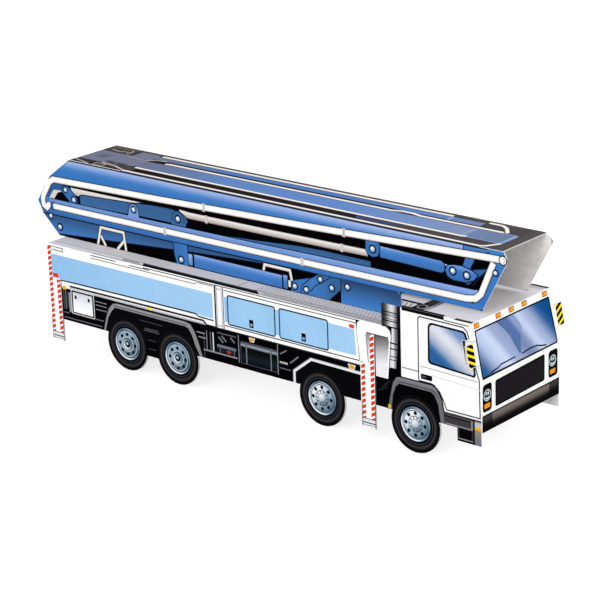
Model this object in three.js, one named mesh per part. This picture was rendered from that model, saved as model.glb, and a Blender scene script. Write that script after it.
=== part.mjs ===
// A folded paperboard model of a concrete pump truck with its boom stowed.
// One printed sheet is creased into two side panels, a deck, an open boom sleeve, a cab and a floor,
// and the wheels, outrigger legs and step are die-cut tabs of the side panels.
//
// Units are millimetres. +X points to the cab's nose, +Y to the model's left and +Z up.
// Stations along X are measured from the middle of the body, and the group at the end moves
// the whole model so that its origin is at the middle of its footprint, on the ground.

import * as THREE from "three";

// Driving dimensions

// board and creases
const board = 0.6; // thickness of the board
const crease = 0.3; // clear width left where two panels meet at a fold

// body
const bodyLength = 261; // rear edge of the side panels to the front panel
const bodyWidth = 58; // over the outer faces of the side panels
const deckHeight = 55; // top face of the deck strips
const skirtHeight = 17; // lower edge of the skirts, and the floor's lower face

// cab
const cabLength = 53; // cab back panel to front panel
const roofRise = 10.5; // cab roof above the deck
const windshieldDrop = 23.5; // from the roof down to the fold between windshield and front panel
const windshieldRake = THREE.MathUtils.degToRad(11); // lean back from the vertical

// wheels, as die-cut discs of the side panels
const wheelRadius = 13.4;
const rearOverhang = 52; // rear edge of the body to the rearmost wheel's centre
const rearWheelSpacing = 33;
const frontOverhang = 35.2; // foremost wheel's centre to the front panel
const frontWheelSpacing = 52.5;
const bogieSkirtDrop = 7; // the skirt between the rear wheels hangs this far below the others

// outrigger legs and step, which hang below the skirts
const legWidth = 8;
const legDrop = 11.6;
const frontLegLead = 30.1; // rear edge of the front leg to the foremost wheel's centre
const stepLength = 13; // measured back from the front panel
const stepDrop = 5.9;

// boom sleeve
const boomLength = 283.5; // tail to tip
const boomWidth = 33; // over the outer faces of its side panels
const boomDepth = 28.2; // from its belly, over the cab, to its top
const boomClearance = 1.3; // between the cab roof and the belly
const boomOverhang = 17.9; // of the tail beyond the body's rear edge

// corners of the boom's sides: how far each is ahead of the tail or behind the tip, how far
// below the top or above the deck, and how much of each edge its rounding takes
const tailTop = { ahead: 23.9 };
const tailShoulder = { ahead: 9.7, below: 10.2, rounding: 1 };
const tailCorner = { above: 15.9, rounding: 2.4 };
const tailHeel = { ahead: 3.3, above: 9.8, rounding: 0.8 };
const tailToe = { ahead: 13.1, above: 0.6, rounding: 2.6 };
const tipCorner = { below: 3.8, rounding: 2.2 };
const tipTop = { behind: 2.3, rounding: 0.8 };
const bellyFront = { behind: 13.2, rounding: 1.5 };

// mirror flaps, cut out of the side panels and left standing out in the windshield's plane
const flapReach = 7;
const flapHeight = 10;
const flapRise = 6; // of the flap's foot above the sill fold

// rear closure
const tuckDepth = 8;
const tuckPitch = THREE.MathUtils.degToRad(12); // slope of the tuck flap down from the level
const dustFlapReach = 15;
const dustFlapMargin = 3.5; // left free above and below the dust flaps

// glue flaps inside
const glueFlapWidth = 7;
const glueFlapSetback = 4; // left free at the ends of each glue flap

// Values that follow from them

const bodyHalf = bodyWidth / 2;
const innerHalf = bodyHalf - board - crease; // half width of what lies between the side panels
const glueHalf = innerHalf - board; // inner face of a flap glued inside a side panel
const boomHalf = boomWidth / 2;

const bodyRear = -bodyLength / 2;
const nose = bodyLength / 2;
const rearInside = bodyRear + board + crease;
const noseInside = nose - board - crease;
const cabRear = nose - cabLength;
const frontWheel = nose - frontOverhang;
const rearWheel = bodyRear + rearOverhang;

const roofHeight = deckHeight + roofRise;
const sillHeight = roofHeight - windshieldDrop;
const roofNose = nose - windshieldDrop * Math.tan(windshieldRake); // top of the raked edge

// measured up the rake from the sill fold
const windshieldLength = windshieldDrop / Math.cos(windshieldRake);
const flapFoot = flapRise / Math.cos(windshieldRake);
const flapHead = (flapRise + flapHeight) / Math.cos(windshieldRake);

const boomBelly = roofHeight + boomClearance;
const boomTop = boomBelly + boomDepth;
const boomTail = bodyRear - boomOverhang;
const boomTip = boomTail + boomLength;

// Printed stock: every panel is cut from the same board, and differs only in its print
function stock(color) {
  return new THREE.MeshStandardMaterial({ color, roughness: 0.45, metalness: 0 });
}

const bodyPrint = 0xf4f5f6;
const deckPrint = 0xc3c1c2;
const boomPrint = 0x3a7bc8;
const boomTopPrint = 0x4a4648;
const flapPrint = 0xffe21a;
const plainBoard = 0xd6d5d3;

const model = new THREE.Group();

function addPanel(name, geometry, color, parent = model) {
  const mesh = new THREE.Mesh(geometry, stock(color));
  mesh.name = name;
  parent.add(mesh);
  return mesh;
}

// A rectangular panel given by its lowest and highest corners
function slab(low, high) {
  const size = high.map((value, axis) => value - low[axis]);
  const geometry = new THREE.BoxGeometry(...size);
  return geometry.translate(...low.map((value, axis) => value + size[axis] / 2));
}

// An upright panel cut to an outline drawn in X and Z, with its outer face at outerY
function uprightPanel(outline, outerY) {
  const geometry = new THREE.ExtrudeGeometry(outline, {
    depth: board,
    bevelEnabled: false,
    curveSegments: 20,
  });
  geometry.rotateX(Math.PI / 2);
  return geometry.translate(0, outerY > 0 ? outerY : outerY + board, 0);
}

// Side panels: skirts, die-cut wheels, legs, step, cab side and the notch left by the mirror flap

// The lower rim of one wheel, from where it leaves the edge behind it to where it meets the one ahead
function wheelRim(outline, station, heightBehind, heightAhead) {
  const behind = Math.PI - Math.asin((heightBehind - wheelRadius) / wheelRadius);
  const ahead = 2 * Math.PI + Math.asin((heightAhead - wheelRadius) / wheelRadius);
  outline.absarc(station, wheelRadius, wheelRadius, behind, ahead, false);
}

function legTab(outline, rearEdge) {
  outline.lineTo(rearEdge, skirtHeight - legDrop);
  outline.lineTo(rearEdge + legWidth, skirtHeight - legDrop);
  outline.lineTo(rearEdge + legWidth, skirtHeight);
}

// A point of the side panel, given by its distance up the raked edge and its depth behind that edge
function besideWindshield(up, behind) {
  return [
    nose - up * Math.sin(windshieldRake) - behind * Math.cos(windshieldRake),
    sillHeight + up * Math.cos(windshieldRake) - behind * Math.sin(windshieldRake),
  ];
}

function sideOutline() {
  const bogieHeight = skirtHeight - bogieSkirtDrop;
  const frontLeg = frontWheel - frontLegLead;
  const outline = new THREE.Shape();
  outline.moveTo(bodyRear, deckHeight);
  legTab(outline, bodyRear);
  wheelRim(outline, rearWheel, skirtHeight, bogieHeight);
  wheelRim(outline, rearWheel + rearWheelSpacing, bogieHeight, skirtHeight);
  wheelRim(outline, frontWheel - frontWheelSpacing, skirtHeight, skirtHeight);
  outline.lineTo(frontLeg, skirtHeight);
  legTab(outline, frontLeg);
  wheelRim(outline, frontWheel, skirtHeight, skirtHeight);
  outline.lineTo(nose - stepLength, skirtHeight);
  outline.lineTo(nose - stepLength, skirtHeight - stepDrop);
  outline.lineTo(nose, skirtHeight - stepDrop);
  outline.lineTo(nose, sillHeight);
  outline.lineTo(...besideWindshield(flapFoot - crease, 0));
  outline.lineTo(...besideWindshield(flapFoot - crease, flapReach + crease));
  outline.lineTo(...besideWindshield(flapHead + crease, flapReach + crease));
  outline.lineTo(...besideWindshield(flapHead + crease, 0));
  outline.lineTo(...besideWindshield(windshieldLength, 0));
  outline.lineTo(cabRear, roofHeight);
  outline.lineTo(cabRear, deckHeight);
  return outline;
}

for (const [side, sign] of [["right", -1], ["left", 1]]) {
  addPanel(`${side}_side_panel`, uprightPanel(sideOutline(), sign * bodyHalf), bodyPrint);
}

// Boom sleeve: two side panels and a top panel, open at both ends

// An outline through corners [x, z, rounding], where the rounding is the length of each edge
// that a curve takes the place of
function roundedOutline(corners) {
  const outline = new THREE.Shape();
  corners.forEach(([x, z, rounding = 0], index) => {
    const corner = new THREE.Vector2(x, z);
    const toward = (other) => {
      const neighbour = new THREE.Vector2(...other);
      return neighbour.sub(corner).setLength(rounding).add(corner);
    };
    const start = toward(corners.at(index - 1));
    const end = toward(corners[(index + 1) % corners.length]);
    if (index === 0) {
      outline.moveTo(start.x, start.y);
    } else {
      outline.lineTo(start.x, start.y);
    }
    if (rounding > 0) {
      outline.quadraticCurveTo(x, z, end.x, end.y);
    }
  });
  return outline;
}

// The tail is a blunt nose of straight cuts, and the front end is a long raked cut
// that runs from the belly up to a rounded tip
function boomOutline() {
  return roundedOutline([
    [cabRear - crease, deckHeight - board],
    [cabRear - crease, boomBelly],
    [boomTip - bellyFront.behind, boomBelly, bellyFront.rounding],
    [boomTip, boomTop - tipCorner.below, tipCorner.rounding],
    [boomTip - tipTop.behind, boomTop, tipTop.rounding],
    [boomTail + tailTop.ahead, boomTop],
    [boomTail + tailShoulder.ahead, boomTop - tailShoulder.below, tailShoulder.rounding],
    [boomTail, deckHeight + tailCorner.above, tailCorner.rounding],
    [boomTail + tailHeel.ahead, deckHeight + tailHeel.above, tailHeel.rounding],
    [boomTail + tailToe.ahead, deckHeight + tailToe.above, tailToe.rounding],
    [bodyRear, deckHeight],
    [bodyRear, deckHeight - board],
  ]);
}

for (const [side, sign] of [["right", -1], ["left", 1]]) {
  addPanel(`boom_${side}_panel`, uprightPanel(boomOutline(), sign * boomHalf), boomPrint);
}

const boomInside = boomHalf - board - crease;
addPanel(
  "boom_top_panel",
  slab(
    [boomTail + tailTop.ahead, -boomInside, boomTop - board],
    [boomTip - tipTop.behind - tipTop.rounding, boomInside, boomTop],
  ),
  boomTopPrint,
);

// Deck strips beside the boom, and the panel that steps up from the deck to the cab roof

for (const [side, sign] of [["right", -1], ["left", 1]]) {
  const edges = [sign * (boomHalf + crease), sign * innerHalf].sort((a, b) => a - b);
  addPanel(
    `${side}_deck_strip`,
    slab([bodyRear, edges[0], deckHeight - board], [cabRear - crease, edges[1], deckHeight]),
    deckPrint,
  );
}

addPanel(
  "cab_back_panel",
  slab([cabRear, -innerHalf, deckHeight - board], [cabRear + board, innerHalf, roofHeight - board - crease]),
  bodyPrint,
);

// Cab roof, front panel and raked windshield

const roofFront = roofNose - board / Math.cos(windshieldRake) - crease;
addPanel(
  "cab_roof_panel",
  slab([cabRear, -innerHalf, roofHeight - board], [roofFront, innerHalf, roofHeight]),
  bodyPrint,
);

addPanel(
  "front_panel",
  slab([nose - board, -innerHalf, skirtHeight], [nose, innerHalf, sillHeight - crease / 2]),
  bodyPrint,
);

// The windshield's plane: its origin is on the sill fold, its Z runs up the glass
// and its X is the outward normal
const windshieldPlane = new THREE.Group();
windshieldPlane.position.set(nose, 0, sillHeight);
windshieldPlane.rotation.y = -windshieldRake;
model.add(windshieldPlane);

addPanel(
  "windshield_panel",
  slab([-board, -innerHalf, crease], [0, innerHalf, windshieldLength]),
  bodyPrint,
  windshieldPlane,
);

// Mirror flaps, which fold at the cab's front corners
for (const [side, sign] of [["right", -1], ["left", 1]]) {
  const edges = [sign * (bodyHalf + crease), sign * (bodyHalf + flapReach)].sort((a, b) => a - b);
  addPanel(
    `${side}_mirror_flap`,
    slab([-board, edges[0], flapFoot], [0, edges[1], flapHead]),
    flapPrint,
    windshieldPlane,
  );
}

// Floor, and the rear panel that hinges on it and tucks in under the deck

addPanel(
  "floor_panel",
  slab([rearInside, -innerHalf, skirtHeight], [noseInside, innerHalf, skirtHeight + board]),
  plainBoard,
);

const rearPanelTop = deckHeight - board - crease;
addPanel(
  "rear_panel",
  slab([bodyRear, -innerHalf, skirtHeight], [bodyRear + board, innerHalf, rearPanelTop]),
  bodyPrint,
);

// The tuck flap's plane: X runs down the slope from the top of the rear panel
const tuckPlane = new THREE.Group();
tuckPlane.position.set(rearInside, 0, rearPanelTop);
tuckPlane.rotation.y = tuckPitch;
model.add(tuckPlane);

const tuckStart = board * Math.tan(tuckPitch);
addPanel(
  "rear_tuck_flap",
  slab([tuckStart, -innerHalf + glueFlapSetback, -board], [tuckDepth, innerHalf - glueFlapSetback, 0]),
  plainBoard,
  tuckPlane,
);

for (const [side, sign] of [["right", -1], ["left", 1]]) {
  const edges = [sign * innerHalf, sign * (innerHalf - dustFlapReach)].sort((a, b) => a - b);
  addPanel(
    `${side}_dust_flap`,
    slab(
      [rearInside, edges[0], skirtHeight + dustFlapMargin],
      [rearInside + board, edges[1], deckHeight - board - dustFlapMargin],
    ),
    plainBoard,
  );
}

// Glue flaps inside the side panels; the roof's stop short of the notch of the mirror flap

const floorFlapTop = skirtHeight + board + crease + glueFlapWidth;
addPanel(
  "floor_glue_flap",
  slab(
    [rearInside + board + glueFlapSetback, glueHalf, skirtHeight + board + crease],
    [noseInside - glueFlapSetback, innerHalf, floorFlapTop],
  ),
  plainBoard,
);

for (const [side, sign] of [["right", -1], ["left", 1]]) {
  const edges = [sign * glueHalf, sign * innerHalf].sort((a, b) => a - b);
  addPanel(
    `${side}_roof_glue_flap`,
    slab(
      [cabRear + board + glueFlapSetback, edges[0], roofHeight - board - crease - glueFlapWidth],
      [roofNose - flapReach - glueFlapSetback, edges[1], roofHeight - board - crease],
    ),
    plainBoard,
  );
  addPanel(
    `${side}_front_glue_flap`,
    slab(
      [noseInside - glueFlapWidth, edges[0], floorFlapTop + crease],
      [noseInside, edges[1], sillHeight - glueFlapSetback],
    ),
    plainBoard,
  );
}

// The part's frame: origin on the ground at the middle of the whole model's footprint
const part = new THREE.Group();
model.position.x = -new THREE.Box3().setFromObject(model).getCenter(new THREE.Vector3()).x;
part.add(model);

export default part;
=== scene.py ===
"""A folded and printed paperboard model of a concrete pump truck, with its boom stowed.

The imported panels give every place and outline. Each panel becomes a piece of board whose ends
reach across the creases to its neighbours, and the artwork is laid on it as thin films of ink.
Artwork is drawn in millimetres on each panel's own two axes, later shapes over earlier ones.
"""

import math

import bmesh
import bpy
from bpy.props import FloatProperty, FloatVectorProperty, IntProperty, PointerProperty
from mathutils import Matrix, Vector


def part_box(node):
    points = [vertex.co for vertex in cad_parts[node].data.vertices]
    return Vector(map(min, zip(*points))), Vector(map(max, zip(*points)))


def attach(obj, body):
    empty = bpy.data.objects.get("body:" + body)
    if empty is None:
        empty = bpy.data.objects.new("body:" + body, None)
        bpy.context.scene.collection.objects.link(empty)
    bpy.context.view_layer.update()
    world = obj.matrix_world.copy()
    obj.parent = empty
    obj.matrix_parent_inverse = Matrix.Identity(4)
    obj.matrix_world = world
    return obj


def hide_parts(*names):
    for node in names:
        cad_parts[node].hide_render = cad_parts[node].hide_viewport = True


bl_info = {
    "name": "Paperboard Pump Truck",
    "version": (1, 0, 0),
    "blender": (4, 5, 0),
    "location": "3D View > Sidebar > Pump Truck",
    "description": "Builds the boards, artwork and stage of a folded paperboard pump truck",
    "category": "Object",
}

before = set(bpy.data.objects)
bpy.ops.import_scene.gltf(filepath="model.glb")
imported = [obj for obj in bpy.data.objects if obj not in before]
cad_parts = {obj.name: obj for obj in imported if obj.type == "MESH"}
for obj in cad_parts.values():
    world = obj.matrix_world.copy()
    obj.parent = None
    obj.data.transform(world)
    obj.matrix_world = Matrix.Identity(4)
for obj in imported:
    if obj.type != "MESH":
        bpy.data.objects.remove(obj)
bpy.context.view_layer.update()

MM = 0.001
AXES = {"x": Vector((1, 0, 0)), "y": Vector((0, 1, 0)), "z": Vector((0, 0, 1))}


def span(node, axis):
    """The lowest and highest millimetre of a packed panel along x, y or z."""
    return [corner["xyz".index(axis)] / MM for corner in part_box(node)]


BODY_REAR, NOSE = span("right_side_panel", "x")
HALF_WIDTH = abs(span("right_side_panel", "y")[0])
DECK_HALF_WIDTH = abs(span("right_deck_strip", "y")[0])
BOOM_HALF_WIDTH = abs(span("boom_right_panel", "y")[0])
CAB_REAR = span("cab_back_panel", "x")[0]
ROOF = span("cab_roof_panel", "z")[1]
DECK = span("right_deck_strip", "z")[1]
SKIRT = span("floor_panel", "z")[0]
BOOM_TOP = span("boom_top_panel", "z")[1]
BOARD = DECK - span("right_deck_strip", "z")[0]  # thickness of the sheet
CREASE = CAB_REAR - span("right_deck_strip", "x")[1]  # gap that is left clear at a fold
SILL = span("front_panel", "z")[1] + CREASE / 2
TOUCH = 0.03  # a corner this near to a plane lies on it

# The side and deck artwork has its own x, in which the nose stands at a round number
ARTWORK_NOSE = 130
ARTWORK_MIDDLE = NOSE - ARTWORK_NOSE
ARTWORK_CAB_REAR = CAB_REAR - ARTWORK_MIDDLE
FOLD_CLEARANCE = 0.03  # from a fold to the films that run up to it
WHEEL_HEIGHT = 13.4  # of the wheels' middles, above the ground

# The windshield leans back from its sill
RAKE = math.radians(11)
UP_GLASS = Vector((-math.sin(RAKE), 0, math.cos(RAKE)))
OFF_GLASS = Vector((math.cos(RAKE), 0, math.sin(RAKE)))


SIDES = (("right", -1), ("left", 1))


# Colours

def linear(tint):
    """A colour property, or "#rrggbb", as a linear RGBA tuple."""
    if isinstance(tint, str):
        parts = [int(tint[i : i + 2], 16) / 255 for i in (1, 3, 5)]
        tint = [c / 12.92 if c <= 0.04045 else ((c + 0.055) / 1.055) ** 2.4 for c in parts]
    return (*tint[:3], 1.0)


def toned(tint, factor):
    """A colour made darker or lighter by a factor."""
    return (*(min(1, c * factor) for c in linear(tint)[:3]), 1.0)


def tint_property(name, tint, description):
    return FloatVectorProperty(
        name=name, description=description, subtype="COLOR", size=3, min=0, max=1,
        default=linear(tint)[:3],
    )


class PumpTruckColours(bpy.types.PropertyGroup):
    """Inks and board colours"""

    white: tint_property("White", "#ffffff", "Coated board, front leg and rear bumper")
    black: tint_property("Black", "#030204", "Chassis, seams and the boom's deep shade")
    boom_blue: tint_property("Boom blue", "#3b77be", "Upper outer panel of the boom")
    boom_light: tint_property("Boom highlight", "#a3b7e0", "Lit upper edge of the boom")
    boom_shade: tint_property("Boom shade", "#335580", "Shaded part of the boom's lower arm")
    arm_blue: tint_property("Arm blue", "#3a6395", "Inner arm of the boom")
    beam_blue: tint_property("Beam blue", "#8aaae2", "Light edge of the lower beam")
    panel_blue: tint_property("Panel blue", "#9dcaf1", "Side doors, side panels and rear")
    charcoal: tint_property("Charcoal", "#3e3a3d", "Ground of the boom's top")
    slate: tint_property("Slate", "#6b6f86", "Arms on top of the boom")
    red: tint_property("Stripe red", "#e93a1d", "Outrigger stripes, side lamps and rear lamps")
    yellow: tint_property("Stripe yellow", "#ffe21a", "Mirror flap stripes")
    orange: tint_property("Lamp orange", "#f79a20", "Front and rear turn lamps")
    glass_dark: tint_property("Glass, dark", "#0d4c8d", "Deepest part of the windshield")
    glass_light: tint_property("Glass, light", "#cbd8f4", "Brightest reflection on the windshield")
    fender_grey: tint_property("Fender grey", "#88878b", "Fender over the rear wheels")
    reverse: tint_property("Board reverse", "#f3f1ef", "Uncoated inner side of the board")
    core: tint_property("Board core", "#d9d7d2", "Cut edges of the board")
    floor: tint_property("Floor", "#ffffff", "Studio floor and background")


class PumpTruckSizes(bpy.types.PropertyGroup):
    """Sizes of the folds, the films of ink and the studio"""

    fold_radius: FloatProperty(
        name="Fold radius", description="Rounding of the board where it is folded, in millimetres",
        default=0.42, min=0.05, max=0.6,
    )
    ink_step: FloatProperty(
        name="Ink step", description="Height of each film of ink over the last, in millimetres",
        default=0.012, min=0.004, max=0.05,
    )
    ink_spread: FloatProperty(
        name="Ink spread", description="How much a printed line gains in width, in millimetres",
        default=0.16, min=0, max=0.5,
    )
    fold_segments: IntProperty(
        name="Fold segments", description="Faces across a rounded fold", default=3, min=1, max=8,
    )
    camera_azimuth: FloatProperty(
        name="Camera azimuth", description="Turn of the view from the model's right side",
        subtype="ANGLE", default=math.radians(40.833),
    )
    camera_height: FloatProperty(
        name="Camera elevation", description="Height angle of the view",
        subtype="ANGLE", default=math.radians(18.887),
    )
    camera_roll: FloatProperty(
        name="Camera roll", description="Tilt of the view about its own axis",
        subtype="ANGLE", default=math.radians(-1.874),
    )
    camera_distance: FloatProperty(
        name="Camera distance", description="From the aim point to the camera",
        subtype="DISTANCE", unit="LENGTH", default=1.03857,
    )
    camera_lens: FloatProperty(
        name="Focal length", description="For a sensor 36 mm wide, in millimetres", default=135.06,
    )


# Shader maths

class Socket:
    """A shader node's output, with the arithmetic that the patterns use."""

    def __init__(self, shader, output):
        self.shader, self.output = shader, output

    def maths(self, operation, *values):
        return self.shader.node("ShaderNodeMath", {"operation": operation}, dict(enumerate(values)))

    def __add__(self, other):
        return self.maths("ADD", self, other)

    def __mul__(self, other):
        return self.maths("MULTIPLY", self, other)

    __radd__ = __add__
    __rmul__ = __mul__


class Shader:
    """A node material that is built up by calls."""

    bump_depth = 0.05 * MM

    def __init__(self, name):
        self.material = bpy.data.materials.new(name)
        self.material.use_nodes = True
        self.tree = self.material.node_tree
        self.surface = self.tree.nodes["Principled BSDF"]

    def connect(self, socket, value):
        if isinstance(value, Socket):
            self.tree.links.new(value.output, socket)
        else:
            socket.default_value = value

    def node(self, kind, settings, sockets, output=0):
        made = self.tree.nodes.new(kind)
        for key, value in settings.items():
            setattr(made, key, value)
        for key, value in sockets.items():
            self.connect(made.inputs[key], value)
        return Socket(self, made.outputs[output])

    def noise(self, scale, detail=2.0, stretch=(1, 1, 1), roughness=0.5):
        """Noise on object coordinates, scale in cycles per metre."""
        place = self.node("ShaderNodeTexCoord", {}, {}, "Object")
        place = self.node("ShaderNodeMapping", {}, {"Vector": place, "Scale": stretch})
        values = {"Vector": place, "Scale": scale, "Detail": detail, "Roughness": roughness}
        return self.node("ShaderNodeTexNoise", {}, values, "Fac")

    def ramp(self, value, low, high):
        """value from low to high as 0 to 1."""
        sockets = {"Value": value, "From Min": low, "From Max": high}
        return self.node("ShaderNodeMapRange", {"clamp": True}, sockets, "Result")

    def mix(self, share, first, second):
        """first, turned into the colour second by a share."""
        settings = {"data_type": "RGBA", "blend_type": "MIX"}
        return self.node("ShaderNodeMix", settings, {0: share, 6: first, 7: second}, 2)

    def scaled(self, colour, factor):
        """colour times a number."""
        settings = {"operation": "SCALE"}
        return self.node("ShaderNodeVectorMath", settings, {0: colour, "Scale": factor}, "Vector")

    def finish(self, colour, roughness, height, strength, **constants):
        sockets = {"Height": height, "Strength": strength, "Distance": self.bump_depth}
        bump = self.node("ShaderNodeBump", {}, sockets, "Normal")
        values = {"Base Color": colour, "Roughness": roughness, "Normal": bump, **constants}
        for key, value in values.items():
            self.connect(self.surface.inputs[key], value)
        return self.material


def printed_ink():
    """Offset ink under a satin varnish: fine screen grain, faint mottling and paper tooth."""
    shader = Shader("printed_ink")
    ink = shader.node("ShaderNodeAttribute", {"attribute_name": "ink"}, {}, "Color")
    grain = shader.noise(5200, 1)
    mottle = shader.noise(260, 3)
    level = 0.955 + 0.055 * shader.ramp(grain, 0.3, 0.7) + 0.035 * shader.ramp(mottle, 0.35, 0.65)
    colour = shader.scaled(ink, level)
    roughness = 0.36 + 0.12 * mottle + 0.05 * grain
    constants = {"Specular IOR Level": 0.004}
    return shader.finish(colour, roughness, mottle + 0.3 * grain, 0.12, **constants)


def coated_board(palette):
    """White clay-coated face of the board, faintly mottled by the pulp below it."""
    shader = Shader("coated_board")
    mottle = shader.noise(190, 4)
    fleck = shader.noise(1500, 2)
    dull = toned(palette.white, 0.94)
    colour = shader.mix(shader.ramp(mottle, 0.35, 0.7), linear(palette.white), dull)
    colour = shader.mix(0.4 * shader.ramp(fleck, 0.62, 0.75), colour, linear(palette.core))
    roughness = 0.38 + 0.14 * mottle
    constants = {"Specular IOR Level": 0.15}
    return shader.finish(colour, roughness, mottle + 0.2 * fleck, 0.15, **constants)


def board_reverse(palette):
    """Pale uncoated reverse, with long pulp fibres and darker specks of recycled stock."""
    shader = Shader("board_reverse")
    fibres = shader.noise(420, 5, (0.35, 1, 1), 0.65)
    cross = shader.noise(700, 3, (1, 0.4, 0.5), 0.6)
    speck = shader.noise(2300, 1)
    pulp = shader.ramp(0.6 * fibres + 0.4 * cross, 0.38, 0.62)
    colour = shader.mix(pulp, toned(palette.reverse, 0.9), toned(palette.reverse, 1.06))
    colour = shader.mix(0.35 * shader.ramp(speck, 0.68, 0.74), colour, linear("#8f8a86"))
    return shader.finish(colour, 0.82 + 0.12 * fibres, fibres + 0.6 * cross, 0.45)


def board_core(palette):
    """Die-cut edge: pressed plies that run along the board, roughened by the knife."""
    shader = Shader("board_core")
    plies = shader.noise(1700, 3, (0.2, 1, 0.2), 0.7)
    tear = shader.noise(900, 4)
    knife = shader.ramp(0.6 * plies + 0.4 * tear, 0.4, 0.62)
    colour = shader.mix(knife, toned(palette.core, 0.8), linear(palette.core))
    return shader.finish(colour, 0.86 + 0.1 * tear, plies + tear, 0.5)


def studio_floor(palette):
    """Seamless pale floor, white to the camera and to reflections where nothing shades it."""
    shader = Shader("studio_floor")
    mottle = shader.noise(3, 2)
    patches = shader.ramp(mottle, 0.3, 0.7)
    colour = shader.mix(patches, toned(palette.floor, 0.42), toned(palette.floor, 0.41))
    camera = shader.node("ShaderNodeLightPath", {}, {}, "Is Camera Ray")
    glossy = shader.node("ShaderNodeLightPath", {}, {}, "Is Glossy Ray")
    seen = camera.maths("MAXIMUM", camera, glossy)
    glow = shader.mix(seen, (0, 0, 0, 1), toned(palette.floor, 0.74))
    constants = {"Emission Color": glow, "Emission Strength": 1.0, "Specular IOR Level": 0.0}
    return shader.finish(colour, 0.9 + 0.05 * mottle, mottle, 0.02, **constants)


# Boards

def plane_at(axis, millimetres):
    """A plane square to x, y or z, as a normal and a distance in metres."""
    return AXES[axis], millimetres * MM


def glass_plane(shift=0.0):
    """The windshield's outer face, or a plane shift millimetres along its normal."""
    return OFF_GLASS, OFF_GLASS.dot(Vector((NOSE, 0, SILL))) * MM + shift * MM


def lies_on(plane, point):
    normal, distance = plane
    return abs(normal.dot(point) - distance) < TOUCH * MM


def raised(bm, faces, way):
    """Extrudes faces along a vector, and gives back the corners that moved."""
    grown = bmesh.ops.extrude_face_region(bm, geom=faces)["geom"]
    moved = [part for part in grown if isinstance(part, bmesh.types.BMVert)]
    bmesh.ops.translate(bm, verts=moved, vec=way)
    return moved


def as_object(name, bm, *materials):
    """The finished bmesh as an object in the scene, at the origin."""
    mesh = bpy.data.meshes.new(name)
    bm.to_mesh(mesh)
    bm.free()
    for material in materials:
        mesh.materials.append(bpy.data.materials[material])
    piece = bpy.data.objects.new(name, mesh)
    bpy.context.scene.collection.objects.link(piece)
    return piece


def cut_board(node, name, body, facing, reach=(), folds=(), lips=()):
    """One panel of the sheet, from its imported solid.

    facing is the way its coated face looks. reach lists planes and the millimetres by which the
    corners on them move along the normal. folds lists pairs of planes whose shared outer edge is
    a fold: it is rounded and coated. lips are functions that finish the bmesh."""
    sizes = bpy.context.scene.pump_truck_sizes
    weld, flat_enough = 0.002 * MM, math.radians(0.3)
    bm = bmesh.new()
    bm.from_mesh(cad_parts[node].data)
    bmesh.ops.remove_doubles(bm, verts=bm.verts[:], dist=weld)
    bmesh.ops.dissolve_limit(bm, angle_limit=flat_enough, verts=bm.verts[:], edges=bm.edges[:])
    for plane, distance in reach:
        moved = [vert for vert in bm.verts if lies_on(plane, vert.co)]
        bmesh.ops.translate(bm, verts=moved, vec=plane[0] * distance * MM)
    rounded = [
        edge for edge in bm.edges
        if any(all(lies_on(p, v.co) for p in pair for v in edge.verts) for pair in folds)
    ]
    coated = {
        face for face in bm.faces
        if any(all(lies_on(pair[1], v.co) for v in face.verts) for pair in folds)
    }
    for face in bm.faces:
        turn = face.normal.dot(facing)
        face.material_index = 0 if turn > 0.5 or face in coated else 1 if turn < -0.5 else 2
    if rounded:
        made = bmesh.ops.bevel(
            bm, geom=rounded, offset=sizes.fold_radius * MM, offset_type="OFFSET",
            segments=sizes.fold_segments, profile=0.5, affect="EDGES", material=-1,
            clamp_overlap=True,
        )
        for face in made["faces"]:
            face.smooth = True
            face.material_index = 0
    for lip in lips:
        lip(bm)
    piece = as_object(name, bm, "coated_board", "board_reverse", "board_core")
    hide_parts(node)
    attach(piece, body)


def hinge_lip(side):
    """Adds the wedge of board that joins the windshield to a mirror flap across the corner fold."""

    def build(bm):
        foot, head = mirror_heights()
        inner = Vector((NOSE, side * (DECK_HALF_WIDTH + CREASE), SILL)) + UP_GLASS * foot
        outer = Vector((NOSE, side * HALF_WIDTH, SILL)) + UP_GLASS * foot
        corners = (inner, outer, inner - OFF_GLASS * BOARD)
        face = bm.faces.new([bm.verts.new(corner * MM) for corner in corners])
        tops = raised(bm, [face], UP_GLASS * (head - foot) * MM)
        shell = {face} | {f for vert in tops for f in vert.link_faces}
        bmesh.ops.recalc_face_normals(bm, faces=list(shell))

    return build


def mitre(side, edge):
    """Slants the inner end of a mirror flap, so that it clears the windshield's lip when folded."""
    slant = BOARD * 1.1

    def build(bm):
        planes = (plane_at("y", side * edge), glass_plane(-BOARD))
        back = [vert for vert in bm.verts if all(lies_on(plane, vert.co) for plane in planes)]
        bmesh.ops.translate(bm, verts=back, vec=AXES["y"] * side * slant * MM)

    return build


def backing_board(name, side):
    """The inner ply that shows through the notch of a mirror flap."""
    below, above, behind = 1.7, 1.2, 1.2
    foot, head = (SILL + height * math.cos(RAKE) for height in mirror_heights())
    low, high = foot - below, head + above
    rear = span(f"{name}_front_glue_flap", "x")[0] - behind
    outer = max(span(f"{name}_roof_glue_flap", "y"), key=abs)

    def front(z):
        return NOSE - (z - SILL) * math.tan(RAKE) - (BOARD + CREASE) / math.cos(RAKE)

    bm = bmesh.new()
    rim = ((rear, low), (front(low), low), (front(high), high), (rear, high))
    face = bm.faces.new([bm.verts.new(Vector((x, outer, z)) * MM) for x, z in rim])
    raised(bm, [face], AXES["y"] * -side * BOARD * MM)
    bmesh.ops.recalc_face_normals(bm, faces=bm.faces[:])
    piece = as_object(f"{name}_backing_board", bm, "board_reverse")
    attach(piece, "truck")


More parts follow.
